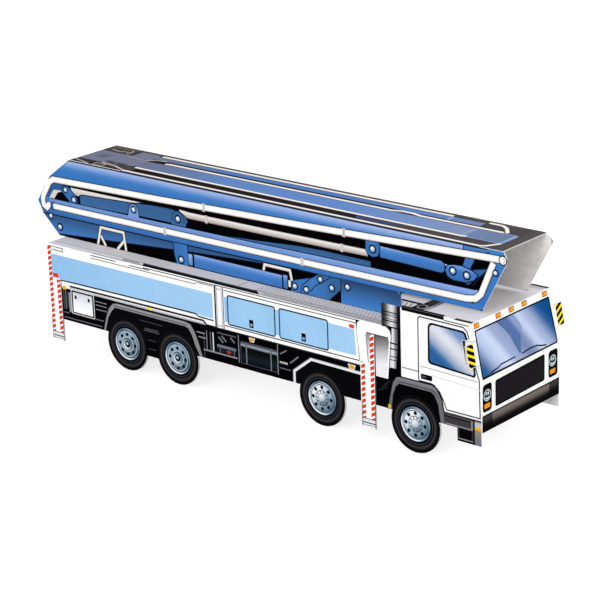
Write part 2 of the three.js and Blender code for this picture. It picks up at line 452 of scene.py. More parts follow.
def mirror_heights():
    """How far up the glass the mirror flaps' foot and head are, in millimetres."""
    low, high = span("right_mirror_flap", "z")
    head = (high - SILL) / math.cos(RAKE)
    foot = (low - SILL + BOARD * math.sin(RAKE)) / math.cos(RAKE)
    return foot, head


# Artwork

def shade(start, end, *stops):
    """A paint that blends stops from the point start to the point end.

    A stop is a colour, or a pair of a place from 0 to 1 and a colour."""
    places = [
        (stop if isinstance(stop, tuple) else (i / (len(stops) - 1), stop))
        for i, stop in enumerate(stops)
    ]
    start, end = Vector(start), Vector(end)
    axis = end - start

    def paint(point):
        t = (Vector(point[:2]) - start).dot(axis) / axis.length_squared
        for (low, a), (high, b) in zip(places, places[1:]):
            if t <= high:
                break
        share = min(1, max(0, (t - low) / (high - low)))
        return [x + (y - x) * share for x, y in zip(linear(a), linear(b))]

    paint.cuts = [(start + axis * place, axis) for place, _ in places]
    return paint


def rising(low, high, *stops):
    """A paint that blends along the panel's second axis."""
    return shade((0, low), (0, high), *stops)


def running(start, end, *stops):
    """A paint that blends along the panel's first axis."""
    return shade((start, 0), (end, 0), *stops)


def half_planes(corners, inset):
    """The straight edges of a convex run of corners, clockwise, moved in by inset."""
    for (u0, v0), (u1, v1) in zip(corners, corners[1:]):
        out = Vector((v0 - v1, u1 - u0)).normalized()
        yield (u0 - out.x * inset, v0 - out.y * inset, out.x, out.y)


def arc(u, v, radius, start, end, steps):
    """Points round a middle, from one angle to another. A full turn leaves out the last one."""
    turns = [math.radians(start + (end - start) * i / steps) for i in range(steps + 1)]
    if end - start >= 360:
        turns.pop()
    return [(u + radius * math.cos(turn), v + radius * math.sin(turn)) for turn in turns]


def rounded(u0, v0, u1, v1, radius, steps=3):
    """The rim of a box with rounded corners, anticlockwise."""
    corners = ((u1 - radius, v0 + radius, -90), (u1 - radius, v1 - radius, 0),
               (u0 + radius, v1 - radius, 90), (u0 + radius, v0 + radius, 180))
    return [
        point for u, v, start in corners for point in arc(u, v, radius, start, start + 90, steps)
    ]


class Art:
    """The printed films of one panel, each a thin closed slab over the board.

    across, up and off are the panel's two axes and the way it faces. above is artwork that this
    lies over, and edges are the lines that trim every film."""

    sink = 0.05  # depth of a film's underside in the board

    def __init__(self, palette, origin, across, up, off, above=None, edges=()):
        self.palette = palette
        self.plane = Matrix.Translation(Vector(origin) * MM) @ (
            Matrix((across, up, off)).transposed().to_4x4() @ Matrix.Scale(MM, 4)
        )
        self.laid = above.laid if above else []
        self.edges = list(edges)
        self.films = bmesh.new()
        self.films.verts.layers.float_color.new("ink")

    def fresh(self):
        """An empty flat shape, with its layer of ink."""
        flat = bmesh.new()
        return flat, flat.verts.layers.float_color.new("ink")

    def lay(self, flat, ink, paint=None, trim=()):
        """Trims a flat shape, paints its corners and grows it into a slab above what it covers."""

        def cut(place, out, clear):
            bmesh.ops.bisect_plane(
                flat, geom=flat.verts[:] + flat.edges[:] + flat.faces[:], dist=1e-5,
                plane_co=(*place, 0), plane_no=(*out, 0), clear_outer=clear,
            )

        for u, v, out_u, out_v in [*self.edges, *trim]:
            cut((u, v), (out_u, out_v), True)
        for place, axis in getattr(paint, "cuts", ()):
            cut(place, axis, False)
        if not flat.faces:
            flat.free()
            return
        if paint:
            for vert in flat.verts:
                vert[ink] = paint(vert.co)
        us, vs = [v.co.x for v in flat.verts], [v.co.y for v in flat.verts]
        box = (min(us), max(us), min(vs), max(vs))
        over = [
            height for (u0, u1, v0, v1), height in self.laid
            if u0 < box[1] and box[0] < u1 and v0 < box[3] and box[2] < v1
        ]
        height = 1 + max(over, default=0)
        self.laid.append((box, height))
        step = bpy.context.scene.pump_truck_sizes.ink_step
        raised(flat, flat.faces[:], (0, 0, self.sink + height * step))
        bmesh.ops.translate(flat, verts=flat.verts[:], vec=(0, 0, -self.sink))
        mesh = bpy.data.meshes.new("film")
        flat.to_mesh(mesh)
        flat.free()
        self.films.from_mesh(mesh)
        bpy.data.meshes.remove(mesh)

    def fill(self, rim, tint, rounding=0.0, trim=()):
        """A patch inside a rim of points."""
        flat, ink = self.fresh()
        flat.faces.new([flat.verts.new((u, v, 0)) for u, v in rim])
        if rounding:
            bmesh.ops.bevel(
                flat, geom=flat.verts[:], offset=rounding, offset_type="OFFSET", segments=4,
                profile=0.5, affect="VERTICES", material=-1, clamp_overlap=True,
            )
        self.lay(flat, ink, tint if callable(tint) else lambda _: linear(tint), trim)

    def box(self, u0, v0, u1, v1, tint, rounding=0.0):
        self.fill([(u0, v0), (u1, v0), (u1, v1), (u0, v1)], tint, rounding)

    def outlined(self, rim, tint, width, line, closed=False):
        """A patch with a line round its rim."""
        self.fill(rim, tint)
        self.line(rim, width, line, closed=closed)

    def disc(self, u, v, radius, tint):
        self.fill(arc(u, v, radius, 0, 360, max(10, int(radius * 7) + 8)), tint)

    def line(self, path, width, *tints, closed=False):
        """A band along a path. Several tints blend across it, from the left of the way it runs,
        and a band of one tint gains the spread of the ink."""
        points = [Vector(point) for point in path]
        if len(tints) == 1:
            width += bpy.context.scene.pump_truck_sizes.ink_spread
            tints *= 2
        count = len(points)
        rows = []
        flat, ink = self.fresh()
        for i, point in enumerate(points):
            before = point - points[i - 1] if i or closed else None
            after = points[(i + 1) % count] - point if i < count - 1 or closed else None
            ways = [way.normalized() for way in (before, after) if way is not None]
            way = sum(ways, Vector((0, 0))).normalized()
            left = Vector((-way.y, way.x))
            reach = 0.5 * width / max(0.35, way.dot(ways[0]))
            row = []
            for j, tint in enumerate(tints):
                place = point + left * reach * (1 - 2 * j / (len(tints) - 1))
                vert = flat.verts.new((*place, 0))
                vert[ink] = linear(tint)
                row.append(vert)
            rows.append(row)
        for first, second in zip(rows, rows[1:] + rows[:1] if closed else rows[1:]):
            for j in range(len(tints) - 1):
                flat.faces.new((first[j], first[j + 1], second[j + 1], second[j]))
        self.lay(flat, ink)

    def ring(self, u, v, radius, width, *tints, start=0, end=360):
        """A circular band. Several tints blend across it, from its inside."""
        steps = max(8, int((radius * 6 + 10) * (end - start) / 360))
        self.line(arc(u, v, radius, start, end, steps), width, *tints, closed=end - start >= 360)

    def stripes(self, left, right, low, high, rise, pitch, thickness, tint):
        """Slanted bands between two upright edges, cut off level at low and high."""
        inside = [(left, high, 0, 1), (left, low, 0, -1)]
        v = low - abs(rise) - (low - abs(rise)) % pitch
        while v < high + abs(rise):
            rim = [(left, v), (right, v + rise), (right, v + rise + thickness), (left, v + thickness)]
            self.fill(rim, tint, trim=inside)
            v += pitch

    def bolt(self, u, v, radius=2.0):
        """A pin end: dark ring and pale ball."""
        self.disc(u, v, radius, "#0b1426")
        lit = radius * 0.6
        self.disc(u, v, radius * 0.64, shade((u, v - lit), (u, v + lit), "#7f98c4", "#c3d4ee"))
        self.disc(u - 0.08 * radius, v + 0.12 * radius, radius * 0.33, "#f1f6ff")

    def finish(self, name, body, slot):
        bmesh.ops.transform(self.films, matrix=self.plane, verts=self.films.verts[:])
        bmesh.ops.recalc_face_normals(self.films, faces=self.films.faces[:])
        piece = as_object(name, self.films, "printed_ink")
        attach(piece, body)


# Side artwork: along the truck in the artwork's own x, and up from the ground

def draw_stack_of_lines(art, tint, width, *lines):
    """Straight level lines, each as its start, its end and its height."""
    for start, end, height in lines:
        art.line([(start, height), (end, height)], width, tint)


def draw_outrigger(art, left, left_top, right, right_top, widths):
    """Striped uprights of one outrigger leg, and its foot."""
    left_width, right_width = widths
    rise, pitch = 1.1, 2.72
    for start, width, top in ((left, left_width, left_top), (right, right_width, right_top)):
        art.stripes(start + 0.1, start + width, 9.8, top, rise, pitch, 1.7, "#a33018")
        art.stripes(start + 0.25, start + width - 0.15, 9.9, top, rise, pitch, 1.5, art.palette.red)
    end = right + right_width
    art.box(left + 0.3, 5.65, end + 0.1, 9.6, rising(5.6, 9.6, "#f2f3f6", "#dfe1e6"))
    for height, width, tint in ((9.6, 0.15, "#3c3d43"), (7.7, 0.35, "#17171a"), (6.6, 0.1, "#4d4e55")):
        art.line([(left + 0.2, height), (end + 0.2, height)], width, tint)
    for edge in (left + 0.15, end + 0.15):
        art.line([(edge, 5.7), (edge, 17)], 0.12, "#2b2c31")


def draw_rear_body(art):
    """Panel work behind the middle pillar."""
    p = art.palette
    art.line([(-128.6, 53.9), (-120.3, 53.9), (-120.3, 52.3), (-128.6, 52.3)], 0.22, "#2a2b31")
    draw_stack_of_lines(art, "#17181c", 0.3, (-101, -84, 54.1), (-66, -21, 54.4), (-75, -62, 53.8))
    draw_stack_of_lines(art, "#55575e", 0.22, (-101, -33.5, 52.7), (-31, -22, 53.7))
    art.line([(-33.5, 52.7), (-31.5, 53.7)], 0.22, "#55575e")
    art.box(-128.6, 37.9, -22.2, 50, running(-128, -22, "#93c2ea", p.panel_blue, "#a2cdf1"))
    art.line([(-123.3, 37.4), (-80, 37.8), (-33.5, 38.1), (-31.5, 37.1), (-22, 36.9)], 0.55, "#101115")
    art.box(-122.9, 17.2, -20.4, 33.8, p.black)
    art.box(-117, 33.9, -27.8, 34.9, rising(33.9, 34.9, "#9b9da4", "#eceef2"))
    art.line([(-117, 35.3), (-60, 35.6), (-28.6, 35.7), (-26.6, 33.9), (-20.5, 33.8)], 0.8, "#0a0a0d")
    art.box(-128.3, 38.2, -124.6, 40.3, p.red, 0.3)
    art.box(-122, 33, -119.4, 34.9, "#f0b436", 0.25)
    art.line([(-122.9, 17.2), (-122.9, 37.3)], 0.35, "#33343a")
    # machinery behind the leg
    for x, low, high, tint in ((-121.6, 23, 33, "#48494f"), (-120.2, 23, 32.6, "#66676d"),
                               (-118.9, 24, 32, "#3b3c42")):
        art.line([(x, low), (x, high)], 0.6, tint)
    art.box(-118, 22, -115.7, 32, running(-118, -115.7, "#a8aab0", "#5d5f66"))
    draw_stack_of_lines(art, "#6b6c72", 0.3, (-122, -96, 18.7), (-100, -94.5, 21.8), (-122, -118.4, 21.2))
    # hatch with two latches
    art.box(-116.5, 21.5, -100.5, 34.1, "#dfe1e6", 0.5)
    art.box(-116, 21.9, -100.9, 33.6, "#17171b", 0.4)
    art.box(-115.1, 22.6, -101.8, 32.8, rising(23, 32, "#ffffff", "#f1f3f7", "#d6d9e0"))
    for x in (-113.2, -104.2):
        art.box(x - 0.7, 29.5, x + 0.7, 31.3, "#0d0d10", 0.4)
    for low in (31, 29.2, 27):
        art.line([(-99.5, low), (-92, low)], 0.5, "#9a9ca3", "#55565c")


def draw_rear_arch(art):
    """Two-tone fender over the rear pair of wheels."""
    p = art.palette
    art.box(-79, 10.2, -46, 17.4, p.black)
    outer = [(-95, 17.2), (-93.2, 23.5), (-91, 29), (-88, 32.2), (-85, 32.9), (-40, 32.9),
             (-37, 32.2), (-34.5, 29.5), (-32, 24), (-29.7, 17.2)]
    inner = [(-31.5, 17.2), (-34.3, 22), (-36.3, 27), (-38.5, 29.8), (-40.5, 30.4),
             (-86.5, 30.4), (-89, 28), (-91.5, 24), (-93.6, 17.2)]
    art.fill(outer + inner, rising(30.4, 32.9, p.fender_grey, "#a09fa3"))
    art.line(outer, 0.35, "#1b1b1e")
    art.line([(-87.6, 31.3), (-39, 31.3)], 0.35, "#5a595e")
    art.fill([(-93.4, 17.2), (-91.3, 24), (-88.9, 27.8), (-86.4, 30.1), (-40.6, 30.1),
              (-38.7, 29.5), (-36.6, 26.9), (-34.5, 22), (-31.7, 17.2)], "#070608")
    draw_stack_of_lines(art, "#57575c", 0.3, (-67, -58, 24), (-67.5, -57.5, 23))
    draw_stack_of_lines(art, "#3a3a3f", 0.3, (-70, -55, 27.5), (-65, -60, 18.5), (-65, -60, 14))
    art.box(-64.5, 34, -61.5, 35, p.yellow)
    art.line([(-28.6, 17.2), (-28.6, 30)], 0.3, "#46474c")


def draw_tanks(art):
    """Chassis gear between the axles."""
    p = art.palette
    art.box(-20.4, 17.2, 64.7, 33.8, p.black)
    draw_stack_of_lines(art, "#8e9097", 0.4, (-33, -28, 29.3), (-32, -26.5, 27.1))
    for x, tint in ((-26.8, "#8c8e95"), (-24.5, "#6d6f75")):
        art.line([(x, 21.5), (x, 31)], 0.7, "#3a3b40", tint, "#3a3b40")
    art.line([(-22.8, 21.5), (-22.8, 31)], 0.9, "#7a7c82", "#f0f1f4", "#7a7c82")
    art.line([(-29, 21.4), (-8, 21.4)], 0.5, "#8e9097")
    small = rising(21.9, 26, "#070709", (0.35, "#1c232b"), (0.55, "#0e1115"), (0.82, "#7c8794"),
                   (1, "#3a424c"))
    art.box(-20.5, 21.9, -8.7, 26, small, 0.8)
    art.fill([(-14.7, 23.2), (-13.9, 24), (-12.5, 24), (-11.7, 23.2), (-12.5, 22.4), (-13.9, 22.4)],
             "#b3301f")
    for x in (-18.6, -10):
        art.line([(x, 21.9), (x, 26)], 0.5, "#1b1c20", "#7c828b", "#1b1c20")
    for start, end in (((-19.4, 29.6), (-16.6, 27.2)), ((-17.4, 30.4), (-14.6, 28)),
                       ((-12, 30.6), (-9.4, 28.6))):
        art.line([start, end], 0.6, "#777a82")
    art.line([(-20.2, 31.6), (-8.4, 31.6)], 0.4, "#5e6067")
    art.line([(-7.1, 19.5), (-7.1, 33)], 0.6, "#4a4b51", "#9b9da4")
    tank = rising(19.8, 30.3, "#050507", (0.3, "#172026"), (0.5, "#0e1316"), (0.76, "#060607"),
                 (0.86, "#9aa4b0"), (0.93, "#59626c"), (1, "#24282d"))
    art.box(-6, 19.6, 16.5, 30.5, "#4c535b", 1.4)
    art.box(-5.7, 19.9, 16.2, 30.2, tank, 1.2)
    for x in (-2.3, 12.5):
        art.line([(x, 19.8), (x, 30.3)], 0.9, "#1b1c20", "#8a9099", "#1b1c20")
    art.line([(16.7, 18.8), (16.7, 33.5)], 0.6, "#9b9da4", "#4a4b51")
    art.line([(17.7, 25.2), (22.5, 25.2)], 1.0, "#d7dae0", "#5b5d64")
    art.line([(17.7, 22.5), (24, 22.5)], 0.3, "#6b6c72")
    art.line([(18, 29.2), (22, 31.6)], 0.5, "#6b6c72")
    art.line([(24, 26), (29, 30)], 0.7, "#8e9097", "#4a4b51")
    guard = [(26.2, 17.2), (26.2, 22.9), (36.3, 30.6), (64.7, 30.2)]
    art.line(guard, 1.5, "#84868d", "#f2f3f6", "#d9dbe1")
    art.fill([(27.1, 17.2), (27.1, 22.5), (36.6, 29.7), (64.7, 29.3), (64.7, 17.2)], "#070608")


def draw_middle_body(art):
    """Pillar, doors and lamps between the rear body and the front leg."""
    p = art.palette
    art.box(-21, 33.8, -20.1, 54.6, p.black)
    art.line([(-19.6, 33.9), (-19.6, 54.6)], 0.3, "#8e9097")
    art.line([(-16.5, 33.9), (-16.5, 54.6)], 0.3, "#a9abb2")
    draw_stack_of_lines(art, "#9a9ca3", 0.3, (-19.6, -16.5, 53), (-19.6, -16.5, 35.2))
    art.line([(-15.6, 33.9), (-15.6, 54.6)], 0.4, "#3b3c42")
    draw_stack_of_lines(art, "#1d1e23", 0.25, (-15, 62.6, 53.1), (-20.4, 62.8, 54.6))
    art.fill([(-14.9, 37.9), (62.5, 37.9), (61.6, 50), (-14.9, 50)],
             running(-15, 62, "#93c3ec", p.panel_blue, "#a4cef2"))
    for left, right in ((-12.8, 15.6), (18.4, 46.5)):
        rim = rounded(left, 37, right, 51, 0.9)
        door = shade((left, 38), (right, 50), "#98c6ee", "#a0ccf2", "#98c6ee")
        art.outlined(rim, door, 0.5, "#1f2937", closed=True)
    for left in (0.1, 31.2):
        art.box(left, 38.2, left + 2.5, 42, p.black, 0.3)
        art.box(left + 0.5, 38.9, left + 1.9, 40.2, "#8fa0b4")
    draw_stack_of_lines(art, "#2b2c32", 0.35, (-15, 64, 36), (-20.4, 64.4, 33.9))
    art.box(58.7, 50.3, 61.7, 52, p.red, 0.3)
    for left, low, right, high in ((-0.4, 31.2, 3, 33.3), (57.8, 30.8, 61.8, 33.2)):
        art.fill([(left - 0.2, high), (left + 0.6, low), (right - 0.6, low), (right + 0.2, high)],
                 "#efece6")
        art.box(left + 0.6, low + 0.3, right - 0.6, high - 0.3, "#e9a31c", 0.3)
    art.line([(62.9, 54.8), (63.2, 50), (64.7, 36)], 0.6, "#0e0e11")
    art.fill([(62.8, 54.8), (65, 54.8), (63.1, 50.2)], p.black)
    art.box(64.6, 33, 65.2, 36, p.black)


def draw_front_leg(art):
    """White arch of the front outrigger, its shaded opening and its striped leg."""
    p = art.palette
    art.box(72.6, 17.2, 86.4, 36, p.black)
    art.fill([(72.6, 31), (80.3, 31), (82, 48), (82.2, 51), (81.5, 53.5), (79, 54.9), (65, 54.9),
              (63.4, 53.5), (63, 50), (64.7, 36), (64.8, 17.2), (72.6, 17.2)], p.white)
    art.line([(80.3, 31), (82, 48), (82.2, 51)], 0.35, "#17171a")
    art.line([(82.2, 51), (81.5, 53.5), (79.6, 54.9)], 0.35, "#808086")
    art.fill([(73.2, 31.2), (79.4, 31.2), (80.9, 48.4), (80.4, 49.8), (73.4, 49.8)],
             shade((75.4, 49.8), (77.6, 37), "#5f5c5d", (0.3, "#8f8c8d"), (0.6, "#c6c4c6"), (1, "#ecebee")))
    art.fill([(68.2, 48.6), (69.3, 50), (72.6, 50), (70.3, 49.2), (70.1, 36), (69.1, 36.2)],
             shade((69, 50), (69.6, 38), "#8d8b8d", (0.5, "#c9c8ca"), (1, "#f4f4f6")))
    art.line([(69.4, 50), (68.2, 48.8), (69.3, 36.4)], 0.3, "#7e8087")
    art.line([(68.3, 50), (80.6, 50)], 0.35, "#54555b")
    art.box(72.7, 17.2, 73.4, 49.8, "#3b3c42")
    draw_outrigger(art, 65.1, 36, 70.2, 49.5, (2.2, 2.2))
    for shift in (0, 1.7, 3.4):
        art.line([(74.4 + shift, 24.5 + shift), (79.6 + shift * 0.4, 26.8 + shift)], 0.3, "#0d0d0f",
                 "#47484e", "#0d0d0f")


def draw_exhaust(art):
    """Chrome stack behind the cab."""
    front, foot = 87.3, 54.9
    rear = ARTWORK_CAB_REAR + 0.02
    chrome = running(77.2, front, "#2f2c2f", (0.1, "#333033"), (0.24, "#5f5f62"), (0.34, "#a2a2a5"),
                     (0.5, "#dedee0"), (0.6, "#d3d3d7"), (0.7, "#a9a9ad"), (0.8, "#55555a"),
                     (0.88, "#0d0c0f"), (1, "#050406"))
    art.box(rear, foot, front, ROOF - FOLD_CLEARANCE, chrome)
    rings = ((61.9, 0.35), (60.9, 0.1), (60.2, 0.1), (58.8, 0.1), (57.9, 0.35), (55.2, 0.5))
    for height, width in rings:
        art.line([(rear, height), (front, height)], width, "#0d0c0f")
    art.fill([(80.7, 33), (82.2, 48), (82.4, 51), (81.7, 53.5), (79.9, foot), (front, foot), (front, 33)],
             art.palette.black)
    lower = running(82, 86, "#d5d5d8", (0.25, "#ebebee"), (0.6, "#808085"), (1, "#2b2a2d"))
    art.fill([(82.6, foot), (85.9, foot), (85.8, 48), (84.6, 36.4), (81, 36.4), (82.4, 50)], lower)
    for height, width in ((48, 0.5), (45.4, 0.4), (41.9, 0.25), (40.3, 0.25), (36.4, 0.4)):
        art.line([(81.4, height), (86, height)], width, "#101013")


def draw_cab_door(art):
    """Door with its window and handle, and the dark edge of the roof."""
    art.box(88, 64.2, 110.5, ROOF - FOLD_CLEARANCE, "#0a090b")
    art.line([(110.5, 64.1), (123.4, 64.1)], 0.3, "#2f3035")
    art.line([(87.8, 38.1), (96.5, 38.1)], 0.4, "#83858c")
    door = [(126.6, 46.7), (128.7, 41), (129.1, 23.9), (111.5, 23.9), (110.2, 27), (108, 31),
            (105, 33.6), (103.5, 34), (97, 34), (96.7, 35), (96.7, 62.2), (97.6, 63.2),
            (120.5, 63), (122.5, 61.5), (123.6, 58.3)]
    art.line(door, 0.4, "#1c1c20")
    # the window stops at the notch that the mirror flap was cut from
    art.fill([(101.8, 44.5), (101.9, 59.6), (102.5, 61), (104, 61.7), (120.6, 61.4), (121.9, 60.6),
              (122.9, 57.8), (119.5, 57.05), (121.55, 46.1), (126.3, 47), (127.1, 43.2), (126.3, 41.7),
              (103.5, 42.8), (102.3, 43.3)], "#070608")
    glass = shade((104, 48.5), (113.7, 63.1), "#2b5e99", (0.11, "#4171a5"), (0.2, "#809bc0"),
                  (0.31, "#adb9d1"), (0.46, "#d1d5df"), (0.57, "#dde0ea"), (0.69, "#d2d7e3"),
                  (0.8, "#a5b3cd"), (0.89, "#7795c4"), (1, "#6c8fc2"))
    art.fill([(102.8, 45), (102.9, 59.2), (103.4, 60.3), (104.4, 60.8), (120, 60.5), (121, 59.9),
              (121.9, 57.5), (119.5, 57.05), (121.55, 46.1), (125.4, 46.85), (126, 43.4), (125.6, 42.6),
              (104, 43.7), (103.1, 44.1)], glass)
    art.line([(97.8, 40.8), (128, 40.2)], 0.3, "#b0b2b9")
    art.line([(104, 37.8), (129, 36.6)], 0.2, "#d5d7dc")
    art.box(97.9, 35.1, 104, 37.5, "#0d0d10", 0.5)
    art.box(98.5, 35.9, 100.6, 36.7, "#4b4c52", 0.2)


def draw_front_fender(art):
    """Fender over the steered wheel below the cab."""
    art.fill([(81.6, 17.2), (82.3, 24), (84, 29), (86, 30.6), (103.5, 30.6), (105.5, 29.3),
              (107.5, 25), (108.6, 17.2)], art.palette.black)
    art.fill([(79.6, 17.2), (81, 24), (82.5, 30), (84.5, 33), (86.5, 33.3), (104, 33.3), (106.5, 32.2),
              (109, 28), (110.3, 22), (110.8, 17.2), (108.4, 17.2), (107.2, 25), (105.2, 29),
              (103.3, 30.2), (86.2, 30.2), (84.2, 28.5), (82.5, 24), (81.8, 17.2)],
             rising(30, 33.3, "#6a696d", (0.5, "#77767a"), (1, "#828186")))
    art.line([(79.6, 17.2), (81, 24), (82.5, 30), (84.5, 33), (86.5, 33.5), (104, 33.5), (106.5, 32.4),
              (109, 28.2), (110.3, 22), (110.8, 17.2)], 0.4, "#0d0d10")
    art.line([(85.6, 31.2), (104, 31.2), (106, 29.8)], 0.3, "#4b4a4f")
    art.box(79.9, 17.5, 81.4, 19.3, "#d9b13a", 0.2)


def draw_steps(art):
    """Sill, steps and bumper end below the door."""
    art.box(110.4, 17.2, 126, 22.5, "#3a383b")
    art.box(111, 18.3, 124.2, 20.9, "#3d3b3e")
    art.line([(110.7, 21.2), (124.4, 21.2)], 0.4, "#070608")
    art.line([(111, 21.8), (124.4, 21.8)], 0.3, "#545255")
    art.line([(111, 17.8), (125, 17.8)], 0.6, "#6b696c", "#9d9b9e", "#6b696c")
    art.line([(124.9, 17.6), (124.9, 21.8)], 0.9, "#6b696c", "#a3a1a4", "#6b696c")
    art.box(117.1, 11.2, 126, 17.2, "#050406")
    art.box(117.1, 12.8, 118.2, 17.1, "#2c2b2e")
    art.box(124.7, 12.8, 125.6, 17.1, "#2c2b2e")
    art.line([(117.4, 12.4), (125.4, 12.4)], 0.3, "#8f8d90")
    art.box(126, 11.2, 129.75, 22.4, rising(11.2, 22.4, "#6f6e71", (0.3, "#7a797c"), (0.6, "#8b8a8d"),
                                           (0.8, "#c4c3c6"), (0.93, "#b6b5b8"), (1, "#3a393c")))
    art.line([(126, 11.2), (126, 22.4)], 0.3, "#070608")
    art.box(126.6, 17.6, 129.3, 19.7, rising(17.6, 19.7, "#c0782a", (0.4, "#f0a01c"), (1, "#ffc81e")), 0.3)
    art.line([(110.4, 22.6), (129.7, 22.6)], 0.4, "#2f2d30")


def draw_wheel(art, x, domed):
    """One wheel: tyre with lit sidewall, rim, wheel disc with hand holes, and hub."""
    z = WHEEL_HEIGHT
    art.disc(x, z, 13.2, "#050506")
    for lug in zip(arc(x, z, 12.4, 0, 360, 52), arc(x, z, 13.15, 0, 360, 52)):
        art.line(lug, 0.15, "#1d1c1f")
    art.ring(x, z, 10.8, 2.6, "#060507", "#232226", "#3b3a3e", "#1f1e21", "#060507")
    art.ring(x, z, 9.2, 0.2, "#38373b")
    art.disc(x, z, 8.6, "#040405")
    art.disc(x, z, 8.15, "#14304a")
    rim = shade((x - 6, z - 6), (x + 5, z + 6), "#ffffff", (0.22, "#dbe7ef"), (0.4, "#7f97a9"),
                (0.7, "#4c6377"), (1, "#9db4c4"))
    art.disc(x, z, 7.9, rim)
    art.disc(x, z, 7.1, "#0e1822")
    if domed:
        dish = ("#ffffff", (0.3, "#d5e2ea"), (0.55, "#9db2c2"), (1, "#4c6175"))
    else:
        dish = ("#7f98ad", (0.3, "#8fa6b9"), (0.55, "#73899c"), (1, "#3f5468"))
    art.disc(x, z, 6.85, shade((x - 5, z + 5), (x + 5, z - 5), *dish))
    if domed:
        draw_domed_hub(art, x, z)
    else:
        draw_sunk_hub(art, x, z)


def draw_discs(art, points, radius, tint):
    for u, v in points:
        art.disc(u, v, radius, tint)


def draw_domed_hub(art, x, z):
    """Hand holes, nuts and hub cap of a steered wheel."""
    art.ring(x, z, 6.3, 0.5, "#6d8498", "#435a70")
    draw_discs(art, arc(x, z, 5.15, 0, 360, 8), 0.9, "#0d1620")
    art.disc(x, z, 3.75, "#1b2733")
    collar = shade((x - 2, z + 3), (x + 2, z - 3), "#f4f9fc", (0.5, "#a9bccb"), (1, "#5c7184"))
    art.disc(x, z, 3.45, collar)
    draw_discs(art, arc(x, z, 2.95, 0, 360, 10), 0.36, "#1b2632")
    art.disc(x, z, 2.2, "#1b2632")
    cap = shade((x - 1, z + 2), (x + 1, z - 2), "#ffffff", (0.5, "#c9d7e1"), (1, "#6d8294"))
    art.disc(x, z, 1.95, cap)


def draw_sunk_hub(art, x, z):
    """Hand holes and recessed hub of a driven wheel."""
    draw_discs(art, arc(x, z, 5.0, 0, 360, 8), 0.9, "#0b131c")
    art.ring(x, z, 6.3, 0.6, "#cfdde7", "#5d7488")
    art.ring(x, z, 3.7, 0.6, "#f4f9fc", "#4d6478")
    art.disc(x, z, 3.3, "#131d27")
    cup = shade((x - 2, z - 2), (x + 2, z + 2), "#eaf2f7", (0.5, "#8aa1b2"), (1, "#4f6578"))
    art.disc(x, z, 2.9, cup)
    art.disc(x, z, 1.7, "#0b121a")
    art.disc(x - 0.2, z + 0.2, 0.7, "#c3d3de")


# Boom artwork

BOOM_LINE = "#0f1a2e"
PIN_RING = "#16161a"
BOOM_FOOT_FRONT = 76.68  # where the boom's side stops short of the cab's back
BOOM_FOLD = 66.83  # lower edge of the boom's side over the cab
# the edges of the boom's side, clockwise from the tail's foot over the top to the front's
BOOM_RIM = [(-135.8, 55.6), (-145.6, 64.8), (-148.9, 70.9), (-139.2, 84.8), (-125, 95), (132.3, 95),
            (134.6, 91.2), (121.4, 66.8)]


def tube(art, path, width, *tints):
    """A bent delivery pipe: pale round tube with thin dark outlines."""
    art.line(path, width + 0.45, "#241f1d")
    art.line(path, width, *(tints or ("#dcd6d0", "#ffffff", "#ffffff", "#faf8f6", "#bdb6b0")))


def flange(art, u, v, height):
    """A coupling across a pipe."""
    steel = ("#8a857f", "#fbfaf9", "#77716c", "#f1efed", "#8a857f")
    art.line([(u, v - height / 2), (u, v + height / 2)], 1.7, *steel)


def draw_boom_side(art):
    """One side of the stowed boom. What is drawn later lies over what is drawn before."""
    draw_boom_panels(art)
    draw_inner_arm(art)
    draw_tail_link(art)
    draw_lower_beam(art)
    draw_front_linkage(art)
    draw_delivery_pipes(art)
    draw_lower_arm(art)
    draw_cradles(art)
    draw_lifting_cylinder(art)
    draw_turret(art)


def draw_boom_panels(art):
    """Blue panels round the dark inside: along the top, at the tail, at the front and below."""
    p = art.palette
    art.box(-149, 55, BOOM_FOOT_FRONT, 66.8, p.black)
    art.box(-149, 66.8, 135, 95, p.black)
    top = rising(85, 94.2, "#3674b8", (0.4, p.boom_blue), (0.6, "#4a80c4"), (0.76, "#769ad4"),
                (0.92, "#9bb1de"), (1, p.boom_light))
    art.fill([(-140, 84), (-137, 84), (-65, 85.5), (20, 88.1), (125, 91), (134.4, 91), (134, 94.2),
              (-149, 94.2)], top)
    art.fill([(111.8, 90), (134.4, 90), (134, 94.2), (111.8, 94.2)], rising(90, 94, "#3568ab", "#4c7cc0"))
    art.line([(111.8, 90.6), (111.8, 94.3)], 0.3, BOOM_LINE)
    art.line([(-127, 94.5), (133, 94.5)], 0.45, "#28304a")
    art.line([(-139.6, 84.6), (-125.6, 94.4)], 0.2, BOOM_LINE)
    art.fill([(-137, 84.8), (-142, 82), (-149, 73), (-149, 64.9), (-137, 65), (-137, 71)],
             shade((-149, 70), (-138, 74), "#3d74ba", "#4479c0"))
    # front edge beyond the pipe
    art.fill([(120.2, BOOM_FOLD), (121.8, 67.7), (137, 92.5), (134, 95), (124, 95), (124, 94),
              (127.9, 86), (121.5, 73.5), (117, 69.5), (114, BOOM_FOLD)],
             shade((121, 67), (131, 92), "#3670b8", "#3d7bc4"))
    # lower outer panel
    art.fill([(-149, 65), (-147, 65), (0, 66), (60, 66.4), (BOOM_FOOT_FRONT, 66.5),
              (BOOM_FOOT_FRONT, BOOM_FOLD), (120.2, BOOM_FOLD), (121.6, 68.4), (115, 69.4), (0, 69),
              (-149, 68)], rising(65, 68.6, "#38649b", (0.4, "#3a6db0"), (1, "#3c77be")))


